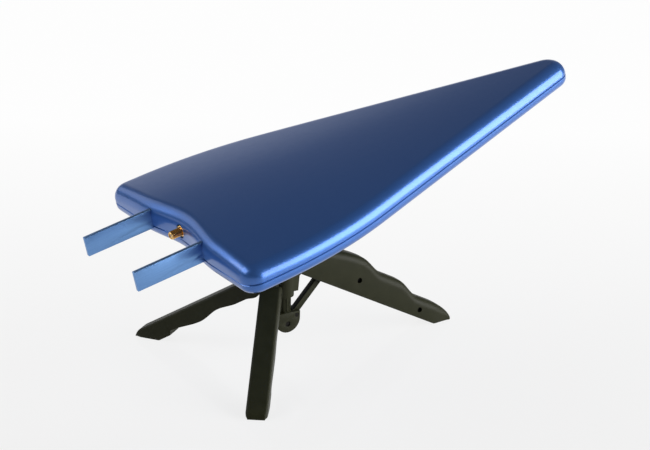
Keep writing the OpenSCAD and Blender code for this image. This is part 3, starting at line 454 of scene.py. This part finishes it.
# %% [markdown]
# ## Radome shells
# Each shell is one loft: it begins at the floor of its hollow, comes down the hollow's wall,
# goes out over the parting face, up the outer side, round the edge and over the face. The
# upper face is arched from side to side, and the arch dies out towards the tip. The edge's
# rounding ends where it meets the arch's slope, so that no crease shows, and the face closes
# on a ridge along its middle. A subdivided cage would pull in at the corners, which rings
# that are set point by point don't do. The parting edge is broken by 0.6 mm on each shell,
# which makes the seam read as a line.

# %% Upper shell's form
UPPER_HEIGHT = 10.6 * MM
UPPER_ROUND = 10 * MM
UPPER_CROWN = 6.9 * MM
SEAM = 0.6 * MM
EDGE = 7 * MM
WALL = 2.5 * MM
JACK_POCKET = 13 * MM
ARCH_RADIUS = HALF_WIDTH ** 2 / (2 * UPPER_CROWN)
RIDGE_REAR = 45 * MM
RIDGE_FRONT = SHELL_LENGTH - 40 * MM
EVEN_STEP = 12 * MM


def arched(x, y):
    near = [half_width(x + step * EVEN_STEP) for step in range(-4, 5)]
    even_width = sum(near) / len(near)
    return UPPER_HEIGHT + (even_width ** 2 - y * y) / (2 * ARCH_RADIUS)


def round_ring(share):
    points = []
    for x, y, nx, ny, hollow in PLAN:
        end = math.pi / 2 - math.atan(y * ny / ARCH_RADIUS)
        reach = UPPER_ROUND * (1 - math.cos(end))
        z = arched(x - reach * nx, y - reach * ny) - UPPER_ROUND * (math.sin(end) - math.sin(share * end))
        inset = UPPER_ROUND * (1 - math.cos(share * end))
        points.append((x - inset * nx + raked(z) * hollow, y - inset * ny, z))
    return points


def face_ring(share):
    points = []
    for x, y, z in round_ring(1):
        along = max(0, x - BEND_X) / (SHELL_LENGTH - BEND_X)
        ridge_x = RIDGE_REAR + (RIDGE_FRONT - RIDGE_REAR) * along
        x = ridge_x + (x - ridge_x) * share
        y = y * share
        points.append((x, y, arched(x, y)))
    return points


print("the arch rises to", round(arched(RIDGE_REAR, 0) / MM, 1), "mm above the parting line")

# %% Upper shell
roof = UPPER_HEIGHT - WALL
upper_rings = [ring(EDGE, roof, JACK_POCKET), ring(EDGE, 0, JACK_POCKET), ring(SEAM, 0, RECESS)]
upper_rings += [ring(0, SEAM, raked(SEAM))]
upper_rings += [round_ring(i / 14) for i in range(15)]
upper_rings += [face_ring(1 - i / 24) for i in range(1, 25)]
bm, last_face = loft(upper_rings)
bmesh.ops.delete(bm, geom=[last_face], context="FACES_ONLY")
bmesh.ops.remove_doubles(bm, verts=bm.verts, dist=0.001 * MM)
TILT = Vector(joints["head_tilt"]["pos_m"])
STAND_X = 84 * MM
HEAD_HEIGHT = 24.5 * MM
ON_TILT = Matrix.Translation(TILT) @ Matrix.Rotation(-PITCH, 4, "Y")
ON_ANTENNA = ON_TILT @ Matrix.Translation((-STAND_X, 0, HEAD_HEIGHT))
upper = solid("upper_radome", bm, ON_ANTENNA)
print("upper shell is a loft of", len(upper_rings), "rings")

# %% Lower shell
LOWER_HEIGHT = 8 * MM
LOWER_ROUND = 6 * MM
LOWER_CROWN = 1.5 * MM
lower_rings = [ring(EDGE, WALL - LOWER_HEIGHT, RECESS), ring(EDGE, 0, RECESS), ring(SEAM, 0, RECESS)]
lower_rings += [ring(0, -SEAM, RECESS), ring(0, LOWER_ROUND - LOWER_HEIGHT, RECESS)]
for i in range(1, 11):
    turn = math.pi / 20 * i
    z = LOWER_ROUND * (1 - math.sin(turn)) - LOWER_HEIGHT
    lower_rings.append(ring(LOWER_ROUND * (1 - math.cos(turn)), z, RECESS))
SPINE_REAR = 70 * MM
SPINE_FRONT = SHELL_LENGTH - 40 * MM
edge = lower_rings[-1]
for i in range(1, 11):
    share = 1 - 0.08 * i
    z = -LOWER_HEIGHT - LOWER_CROWN * (1 - share * share)
    spine = [min(max(x, SPINE_REAR), SPINE_FRONT) for x, y, old_z in edge]
    lower_rings.append([(s + (x - s) * share, y * share, z) for s, (x, y, old_z) in zip(spine, edge)])
lower = solid("lower_radome", loft(lower_rings)[0], ON_ANTENNA)
print("lower shell is a loft of", len(lower_rings), "rings")

# %% [markdown]
# ## Seats in the shells
# The rails sit in slots across the parting line, the jack in a spot-faced hole in the rear
# wall, and the screws in counterbores from below. The round boss under the lower shell takes
# the threaded insert for the tripod. The seats could be part of the rings, but a Boolean
# keeps the rings simple. All of them have the sizes of the parts that they take.

# %% Rail seats
RAIL_Y = 37 * MM
RAIL_T = 3 * MM
RAIL_TOP = 12.4 * MM
RAIL_LOW = -2 * MM
RAIL_IN = 24 * MM
FIT = 0.05 * MM
REACH = 40 * MM
for side in (1, -1):
    low = (-REACH, side * RAIL_Y - RAIL_T / 2 - FIT, RAIL_LOW - FIT)
    high = (RAIL_IN + FIT, side * RAIL_Y + RAIL_T / 2 + FIT, RAIL_TOP + FIT)
    combine(upper, box(low, high), ON_ANTENNA)
    combine(lower, box(low, high), ON_ANTENNA)
print("rail seats are", round((RAIL_T + 2 * FIT) / MM, 2), "mm wide")

# %% Jack, stand and screw seats
JACK_Z = 6 * MM
JACK_SEAT = 8.5 * MM
JACK_SPOT_FACE = 4.9 * MM
JACK_HOLE = 3.15 * MM
BOSS_RADIUS = 17 * MM
BOSS_LOW = -9.8 * MM
BOSS_HIGH = -4 * MM
INSERT_HOLE = 4.55 * MM
INSERT_TOP = -2 * MM
SCREW_INSET = 9 * MM
SCREW_HEAD = 2.05 * MM
SCREW_SEAT = -4.5 * MM
combine(upper, rod(JACK_SPOT_FACE, (-REACH, 0, JACK_Z), (JACK_SEAT, 0, JACK_Z)), ON_ANTENNA)
combine(upper, rod(JACK_HOLE, (-REACH, 0, JACK_Z), (REACH, 0, JACK_Z)), ON_ANTENNA)
boss = rod(BOSS_RADIUS, (STAND_X, 0, BOSS_LOW), (STAND_X, 0, BOSS_HIGH), 96)
combine(lower, boss, ON_ANTENNA, "UNION")
combine(lower, rod(INSERT_HOLE, (STAND_X, 0, -REACH), (STAND_X, 0, INSERT_TOP)), ON_ANTENNA)
screw_spots = [(TIP_X, 0)]
for x in (13 * MM, 150 * MM):
    screw_spots += [(x, half_width(x) - SCREW_INSET), (x, SCREW_INSET - half_width(x))]
for x, y in screw_spots:
    combine(lower, rod(SCREW_HEAD, (x, y, -REACH), (x, y, SCREW_SEAT)), ON_ANTENNA)
dress(upper, lacquer, "head", "blue_paint", "upper_shell")
dress(lower, lacquer, "head", "blue_paint", "lower_shell")

# %% [markdown]
# ## Rails
# The two rails are sawn from flat bar and deburred. The construction model has their form, so
# they only get their edges: a narrow bevel is all that a deburring wheel leaves, and it draws
# the thin line along each rail.

# %% Rails
for name in ("left_rail", "right_rail"):
    rail = solid(name + "_bar", softened(name, 0.3))
    dress(rail, anodised, "head", "rail_blue", name)

# %% [markdown]
# ## Coaxial jack
# The jack is turned from brass. Its body is a half section spun about its axis, and the thread
# is a small ridge that is spun along a helix with the real pitch of 36 turns to the inch. The
# construction model has a plain barrel there, so the thread is made here. The edges of the nut
# and the washer are broken with a narrow bevel.

# %% Jack
JACK_R = 3.1 * MM
JACK_FRONT = -3 * MM
THREAD_PITCH = 25.4 * MM / 36
THREAD_TURNS = 11
ROOT = 2.7 * MM
half_section_mm = [
    (27.5, 1.15), (27.5, 2.0), (22.5, 2.0), (22.5, 4.2), (20.0, 4.2), (20.0, 2.7),
    (-2.7, 2.7), (-3.0, 2.4), (-3.0, 2.25), (-2.85, 2.1), (21.5, 2.1), (21.5, 1.15), (27.5, 1.15)]
bm = bmesh.new()
profile = [bm.verts.new((x * MM, 0, JACK_Z + r * MM)) for x, r in half_section_mm]
edges = [bm.edges.new(pair) for pair in zip(profile, profile[1:])]
bmesh.ops.spin(
    bm, geom=profile + edges, cent=(0, 0, JACK_Z), axis=(1, 0, 0), dvec=(0, 0, 0),
    angle=math.tau, steps=64, use_merge=True)
bmesh.ops.remove_doubles(bm, verts=bm.verts, dist=0.002 * MM)
FOOT = ROOT - 0.1 * MM
ridge_section = [
    (0, FOOT), (0.32 * THREAD_PITCH, JACK_R), (0.68 * THREAD_PITCH, JACK_R), (THREAD_PITCH, FOOT)]
THREAD_STEPS = 40
start = JACK_FRONT + 0.3 * MM
ridge = bm.faces.new([bm.verts.new((start + x, 0, JACK_Z + r)) for x, r in ridge_section])
bmesh.ops.spin(
    bm, geom=[ridge], cent=(0, 0, JACK_Z), axis=(1, 0, 0), dvec=(THREAD_PITCH / THREAD_STEPS, 0, 0),
    angle=math.tau * THREAD_TURNS, steps=THREAD_STEPS * THREAD_TURNS)
jack = solid("threaded_jack", bm, ON_ANTENNA)
dress(jack, gold, "head", "gold", "jack_body")
dress(solid("hex_nut", softened("jack_nut", 0.25)), gold, "head", "gold", "jack_nut")
dress(solid("lock_washer", softened("jack_washer", 0.12)), nickel, "head", "steel", "jack_washer")
coat(ptfe, "jack_insulator")
coat(gold, "jack_contact", "stand_insert")

# %% [markdown]
# ## Grip leg
# The front leg is the handle when the tripod is folded. It is moulded in two halves that meet
# on the middle plane. Its back has steps for the fingers, its ridge is rounded, and its toe is
# cut flat where it rests on the floor. Each half is a loft of many thin sections, because the
# section changes all along, and a subdivided box would wash the steps out.


# %% Forms of all legs
def smooth(value):
    u = min(max(value, 0), 1)
    return u * u * (3 - 2 * u)


def leg_place(joint, slope):
    axis = joints[joint]["axis"]
    turn = math.atan2(-axis[0], axis[1])
    move = Matrix.Translation(joints[joint]["pos_m"])
    return move @ Matrix.Rotation(turn, 4, "Z") @ Matrix.Rotation(slope, 4, "Y")


def floor_under(x, height, slope):
    return (x * math.sin(slope) - height) / math.cos(slope)


def half_section(half, low, top, ridge, foot):
    tall = top - low
    ridge = min(ridge, 0.45 * tall)
    foot = min(foot, 0.2 * tall)
    quarter = math.pi / 2
    points = arc(half - foot, low + foot, foot, -quarter, 0, 4)
    points += arc(half - ridge, top - ridge, ridge, 0, quarter, 12)
    return [point[:2] for point in points]


print("leg helpers are ready")

# %% Grip leg's form
FRONT_SLOPE = math.radians(28)
FRONT_LENGTH = 147 * MM
FRONT_LOW = 9.4 * MM
FRONT_HIGH = 17.2 * MM
FRONT_HALF = 9 * MM
TOE_LENGTH = 21 * MM
TOE_START = FRONT_LENGTH - TOE_LENGTH
TOE_NARROWING = 2 * MM
BACK_RUN = 44 * MM
STEP_RUN = 23 * MM
FIRST_STEP = 5.7 * MM
FIRST_STEP_X = 47 * MM
SECOND_STEP = 6.4 * MM
SECOND_STEP_X = 87 * MM
front_height = joints["front_leg_fold"]["pos_m"][2]


def front_ridge(x):
    rise = (FRONT_HIGH - FRONT_LOW) * math.sin(math.pi / 2 * min(max(x / BACK_RUN, 0), 1))
    first = FIRST_STEP * smooth((x - FIRST_STEP_X) / STEP_RUN)
    second = SECOND_STEP * smooth((x - SECOND_STEP_X) / STEP_RUN)
    return FRONT_LOW + rise - first - second


def front_top(x):
    if x < 0:
        return math.sqrt(FRONT_LOW ** 2 - x * x)
    if x < TOE_START:
        return front_ridge(x)
    tip = floor_under(FRONT_LENGTH, front_height, FRONT_SLOPE)
    share = (x - TOE_START) / TOE_LENGTH
    return tip + (front_ridge(TOE_START) - tip) * math.sqrt(1 - share * share)


def front_low(x):
    if x < 0:
        return -math.sqrt(FRONT_LOW ** 2 - x * x)
    return max(-FRONT_LOW, floor_under(x, front_height, FRONT_SLOPE))


def front_half(x):
    return FRONT_HALF - TOE_NARROWING * smooth((x - TOE_START) / TOE_LENGTH)


print("grip leg is", round(FRONT_LENGTH / MM, 1), "mm long")


# %% Grip leg's sections and guide slot
FRONT_RIDGE = 6 * MM
FRONT_FOOT = 0.8 * MM
GROOVE = 0.15 * MM
SECTION_STEP = 1.5 * MM
STRUT_REACH = 34 * MM
STRUT_RISE = math.radians(47)
STRUT_SWING = math.radians(25.8)
LEG_FOLD = math.radians(60)
SLOT_HALF = 2.1 * MM
SLOT_REACH = 7.7 * MM


def front_rings(side):
    stations = [-FRONT_LOW * math.cos(math.radians(a)) for a in range(8, 90, 6)]
    stations += [i * SECTION_STEP for i in range(1, 84)]
    stations += [TOE_START + TOE_LENGTH * math.sin(math.radians(a)) for a in range(4, 84, 4)]
    rings = []
    for x in stations:
        low = front_low(x)
        top = front_top(x)
        groove = min(GROOVE, 0.1 * (top - low))
        points = [(0, low + groove), (groove, low)]
        points += half_section(front_half(x), low, top, FRONT_RIDGE, FRONT_FOOT)
        points += [(groove, top), (0, top - groove)]
        rings.append([(x, side * y, z) for y, z in points])
    return rings


def guide_point(share):
    rise = STRUT_RISE + STRUT_SWING * share
    slope = FRONT_SLOPE + LEG_FOLD * share
    pivot = Vector(joints["strut_swing"]["pos_m"]) - Vector(joints["front_leg_fold"]["pos_m"])
    dx = pivot.x + STRUT_REACH * math.cos(rise)
    dz = pivot.z + STRUT_REACH * math.sin(rise)
    x = dx * math.cos(slope) - dz * math.sin(slope)
    z = dx * math.sin(slope) + dz * math.cos(slope)
    return Vector((x, z))


def guide_slot():
    path = [guide_point(i / 16) for i in range(-1, 18)]
    sides = ([], [])
    for before, point, after in zip(path, path[1:], path[2:]):
        across = (after - before).orthogonal().normalized() * SLOT_HALF
        sides[0].append(point + across)
        sides[1].append(point - across)
    return slab(sides[0] + sides[1][::-1], SLOT_REACH)


print("each half of the grip leg has", len(front_rings(1)), "sections")

# %% Grip leg
FRONT_PLACE = leg_place("front_leg_fold", FRONT_SLOPE)
LEG_SCREWS = [(50 * MM, 1.2 * MM), (114 * MM, -3.3 * MM)]
PIN_HOLE = 2.06 * MM
ACROSS = 20 * MM
BELOW = -30 * MM
CHANNEL_HALF = 6.5 * MM
CHANNEL_END = 104 * MM
CHANNEL_ROOF = -2.6 * MM
HINGE_ROOM_END = 27 * MM
HINGE_ROOM_ROOF = 6 * MM
STRUT_ROOM_HALF = 2.8 * MM
STRUT_ROOM_END = 38 * MM
STRUT_ROOM_ROOF = 8.6 * MM
LEG_SCREW_HOLE = 1.25 * MM
LEG_SCREW_HEAD = 2.05 * MM
LEG_SCREW_SEAT = 4.5 * MM
channel = [
    (BELOW, BELOW), (CHANNEL_END, BELOW), (CHANNEL_END, CHANNEL_ROOF), (HINGE_ROOM_END, CHANNEL_ROOF),
    (HINGE_ROOM_END, HINGE_ROOM_ROOF), (BELOW, HINGE_ROOM_ROOF)]
strut_room = [
    (BELOW, BELOW), (STRUT_ROOM_END, BELOW), (STRUT_ROOM_END, STRUT_ROOM_ROOF), (BELOW, STRUT_ROOM_ROOF)]
for side, node in ((1, "front_leg_left"), (-1, "front_leg_right")):
    half_leg = solid(node + "_half", loft(front_rings(side))[0], FRONT_PLACE)
    combine(half_leg, slab(channel, CHANNEL_HALF), FRONT_PLACE)
    combine(half_leg, slab(strut_room, STRUT_ROOM_HALF), FRONT_PLACE)
    combine(half_leg, guide_slot(), FRONT_PLACE)
    combine(half_leg, rod(PIN_HOLE, (0, -ACROSS, 0), (0, ACROSS, 0)), FRONT_PLACE)
    for x, z in LEG_SCREWS:
        hole = rod(LEG_SCREW_HOLE, (x, -ACROSS, z), (x, LEG_SCREW_SEAT, z))
        combine(half_leg, hole, FRONT_PLACE)
        if side < 0:
            head_room = rod(LEG_SCREW_HEAD, (x, -ACROSS, z), (x, -LEG_SCREW_SEAT, z))
            combine(half_leg, head_room, FRONT_PLACE)
    dress(half_leg, nylon, "front_leg", "nylon", node)

# %% [markdown]
# ## Rear legs
# The two rear legs are alike: a straight bar with a rounded back, two long scallops below for
# the fingers, a heel and a flat sole. A slot at the top straddles the crown's lug, and the
# hinge pin goes through both. An outline pushed out sideways would have the same side view,
# but the loft also rounds the back and narrows the nose.

# %% Rear leg's form
REAR_SLOPE = math.radians(31.8)
REAR_LENGTH = 106 * MM
REAR_DEEP = 14 * MM
REAR_HALF = 7.5 * MM
NOSE = 6 * MM
NOSE_DROP = 3 * MM
NOSE_NARROWING = 1.5 * MM
REAR_RIDGE = 2 * MM
REAR_FOOT = 0.6 * MM
SCALLOP = 4 * MM
SCALLOP_RUN = 8 * MM
rear_height = joints["left_leg_fold"]["pos_m"][2]
# Each stretch of the underside: where it starts and ends, and how deep its scallop is there
STRETCHES_MM = [(16, 32.5, 0.42, 0.9), (32.5, 50, 0.9, 0.17), (50, 76, 0.17, 0.9), (76, 79, 0.9, 0.15)]


def scallop(x):
    depth = STRETCHES_MM[0][2]
    for start, end, first, last in STRETCHES_MM:
        if x >= start * MM:
            depth = first + (last - first) * smooth((x / MM - start) / (end - start))
    return SCALLOP * depth


def rear_top(x):
    if x < 0:
        return math.sqrt((REAR_DEEP / 2) ** 2 - x * x)
    return REAR_DEEP / 2 - NOSE_DROP * max(0, (x - REAR_LENGTH + NOSE) / NOSE) ** 2


def rear_low(x):
    if x < 0:
        return -math.sqrt((REAR_DEEP / 2) ** 2 - x * x)
    under = -REAR_DEEP / 2 + scallop(x) * smooth(x / SCALLOP_RUN)
    return max(floor_under(x, rear_height, REAR_SLOPE), under)


def rear_rings():
    stations = [-REAR_DEEP / 2 * math.cos(math.radians(a)) for a in range(8, 90, 6)]
    stations += [i * SECTION_STEP for i in range(1, 50)]
    stations += [(75 + i * 0.5) * MM for i in range(10)]
    stations += [(80 + i) * MM for i in range(21)]
    stations += [REAR_LENGTH - NOSE + NOSE * math.sin(math.radians(a)) for a in range(9, 82, 9)]
    rings = []
    for x in stations:
        half = REAR_HALF - NOSE_NARROWING * smooth((x - REAR_LENGTH + NOSE) / NOSE) ** 2
        left = half_section(half, rear_low(x), rear_top(x), REAR_RIDGE, REAR_FOOT)
        both = left + [(-y, z) for y, z in reversed(left)]
        rings.append([(x, y, z) for y, z in both])
    return rings


print("each rear leg has", len(rear_rings()), "sections")

# %% Rear legs
LUG_ROOM_HALF = 3.5 * MM
LUG_ROOM_END = 6 * MM
LUG_ROOM_ROOF = 5.6 * MM
for name in ("left_leg", "right_leg"):
    place = leg_place(name + "_fold", REAR_SLOPE)
    leg = solid(name + "_bar", loft(rear_rings())[0], place)
    low = (-ACROSS, -LUG_ROOM_HALF, -ACROSS)
    high = (LUG_ROOM_END, LUG_ROOM_HALF, LUG_ROOM_ROOF)
    combine(leg, box(low, high), place)
    combine(leg, rod(PIN_HOLE, (0, -ACROSS, 0), (0, ACROSS, 0)), place)
    dress(leg, nylon, name, "nylon", name)

# %% [markdown]
# ## Crown, post, hub, strut and tilt head
# These small moulded parts are right as they are in the construction model. They only need
# the slightly broken edges that every moulded part has, so that they don't look cut from card.

# %% Small moulded parts
small_parts = [
    ("crown", "base", 0.5), ("center_post", "base", 0.4), ("hub", "base", 0.5), ("yoke", "base", 0.5),
    ("strut", "strut", 0.4), ("platform", "head", 0.5), ("tilt_knob", "tilt_knob", 0.5)]
for node, body, width in small_parts:
    dress(solid(node + "_moulding", softened(node, width)), nylon, body, "nylon", node)
dress(solid("pad_disc", softened("platform_pad", 0.3)), rubber, "head", "rubber", "platform_pad")

# %% Screws, pins and inner parts
turned_parts = [("tilt_bolt", "base", 0.3), ("shell_screws", "head", 0.2), ("camera_stud", "head", 0.3)]
for node, body, width in turned_parts:
    dress(solid(node + "_turned", softened(node, width)), nickel, body, "steel", node)
coat(nickel, "yoke_screw", "rail_screws", "feed_coax")
coat(black_steel, "hub_screw", "front_leg_screws", "strut_pivot_pin", "strut_guide_pin")
coat(black_steel, "front_hinge_pin", "left_hinge_pin", "right_hinge_pin")
coat(laminate, "element_board")
coat(copper, "upper_elements", "lower_elements")

# %% [markdown]
# ## Floor
# The photo is a packshot on white card with a faint sheen. To the camera and to mirrors the card is mostly
# a white glow with painted light in it: a painted falloff makes it a little greyer near the camera and pure
# white further away. The rest is a satin surface that keeps a soft shadow and a faint mirror image of the
# feet. It is made far wider than a real card, so that no edge of it shows from low down.

# %% Floor
FLOOR_HALF = 60
floor_mesh = bpy.data.meshes.new("floor")
floor_bm = bmesh.new()
bmesh.ops.create_grid(floor_bm, x_segments=2, y_segments=2, size=FLOOR_HALF)
floor_bm.to_mesh(floor_mesh)
floor_bm.free()
floor = bpy.data.objects.new("floor", floor_mesh)
bpy.context.scene.collection.objects.link(floor)
floor.location.z = -0.1 * MM
print("floor is", 2 * FLOOR_HALF, "m wide")

# %% Card
card, tree, shader = new_material(
    "white_card", Specular_IOR_Level=0.8, Coat_Weight=1.0, Coat_Roughness=0.05)
place = add(tree, "ShaderNodeTexCoord").outputs["Object"]
fibre = add(tree, "ShaderNodeTexNoise", Vector=place, Scale=1 / (4 * MM), Detail=2.0)
base = add(tree, "ShaderNodeMix", RGBA, _0=fibre.outputs[0], _6=colour("#f3f3f3"), _7=colour("#f6f6f6"))
rough = add(tree, "ShaderNodeMapRange", Value=fibre.outputs[0], To_Min=0.05, To_Max=0.09)
relief = add(tree, "ShaderNodeBump", Height=fibre.outputs[0], Distance=0.002 * MM, Strength=0.1)
plug_in(tree, shader, base, rough, relief)
floor_mesh.materials.append(card)
print("floor is", card.name)

# %% Card's glow, with a painted light falloff
FADE_TURN = math.radians(-57)
FADE_START = -0.25
FADE_END = 0.55
turned = add(tree, "ShaderNodeMapping", Vector=place, Rotation=(0, 0, FADE_TURN)).outputs[0]
away = add(tree, "ShaderNodeSeparateXYZ", Vector=turned).outputs["X"]
# Painted light: the glow runs from #f8f8f8 near the camera to #ffffff far away, a painted falloff of the
# studio light across the card.
painted_falloff = add(tree, "ShaderNodeMapRange", Value=away, From_Min=FADE_START, From_Max=FADE_END)
painted_falloff_white = add(tree, "ShaderNodeMix", RGBA, _0=painted_falloff.outputs[0], _6=colour("#f8f8f8"), _7=colour("#ffffff"))
glow = add(tree, "ShaderNodeEmission", Color=painted_falloff_white.outputs[2], Strength=1.0)
path = add(tree, "ShaderNodeLightPath")
MOST = {"operation": "MAXIMUM"}
mirrored = add(
    tree, "ShaderNodeMath", MOST, _0=path.outputs["Is Glossy Ray"], _1=path.outputs["Is Transmission Ray"])
seen = add(tree, "ShaderNodeMath", MOST, _0=path.outputs["Is Camera Ray"], _1=mirrored.outputs[0])
own = add(
    tree, "ShaderNodeMapRange", Value=away, From_Min=FADE_START, From_Max=FADE_END, To_Min=0.8, To_Max=0.97)
part = add(tree, "ShaderNodeMath", {"operation": "MULTIPLY"}, _0=seen.outputs[0], _1=own.outputs[0])
blend = add(tree, "ShaderNodeMixShader", Fac=part.outputs[0], _1=shader.outputs[0], _2=glow.outputs[0])
tree.links.new(blend.outputs[0], tree.nodes["Material Output"].inputs["Surface"])
print("the card's own white rises between", FADE_START, "and", FADE_END, "m along the view")

# %% [markdown]
# ## Light
# A large low softbox on the right draws the bright line along the right edge and lights the
# grip leg. Two small ones behind and on the left are mirrored by the rear rounding and its
# corners. Behind the antenna the backdrop is lit, and the rest of the room is dark, which keeps
# the flat top a deep blue.

# %% Room
BACKDROP_TURN = math.radians(62)
BACKDROP = (math.cos(BACKDROP_TURN), math.sin(BACKDROP_TURN), 0)
DIM_ROOM = (0.115, 0.113, 0.112, 1)
LIT_BACKDROP = (0.82, 0.82, 0.82, 1)
scene = bpy.context.scene
world = bpy.data.worlds.new("studio")
scene.world = world
world.use_nodes = True
tree = world.node_tree
direction = add(tree, "ShaderNodeTexCoord").outputs["Generated"]
near = add(tree, "ShaderNodeVectorMath", {"operation": "DOT_PRODUCT"}, _0=direction, _1=BACKDROP)
lit = add(tree, "ShaderNodeMapRange", Value=near.outputs["Value"], From_Min=0.89, From_Max=0.98)
room = add(tree, "ShaderNodeMix", RGBA, _0=lit.outputs[0], _6=DIM_ROOM, _7=LIT_BACKDROP)
background = tree.nodes["Background"]
tree.links.new(room.outputs[2], background.inputs["Color"])
background.inputs["Strength"].default_value = 1.0
scene.view_settings.view_transform = "Standard"
print("room is lit by", world.name)

# %% Softboxes
LIT_POINT = Vector((0.03, 0, 0.08))


def softbox(name, azimuth, elevation, distance, width, tall, watts):
    light = bpy.data.lights.new(name, "AREA")
    light.shape = "RECTANGLE"
    light.size = width
    light.size_y = tall
    light.energy = watts
    lamp = bpy.data.objects.new(name, light)
    turn = math.radians(azimuth)
    lift = math.radians(elevation)
    away = Vector((math.cos(lift) * math.cos(turn), math.cos(lift) * math.sin(turn), math.sin(lift)))
    lamp.location = LIT_POINT + away * distance
    lamp.rotation_euler = (-away).to_track_quat("-Z", "Y").to_euler()
    scene.collection.objects.link(lamp)
    print("lit by", name)


softbox("right_softbox", -46, 12, 1.5, 1.8, 1.1, 44)
softbox("left_softbox", 130, 25, 0.75, 0.72, 0.32, 0.7)
softbox("rear_softbox", 161, 32, 0.9, 0.68, 0.4, 3.0)
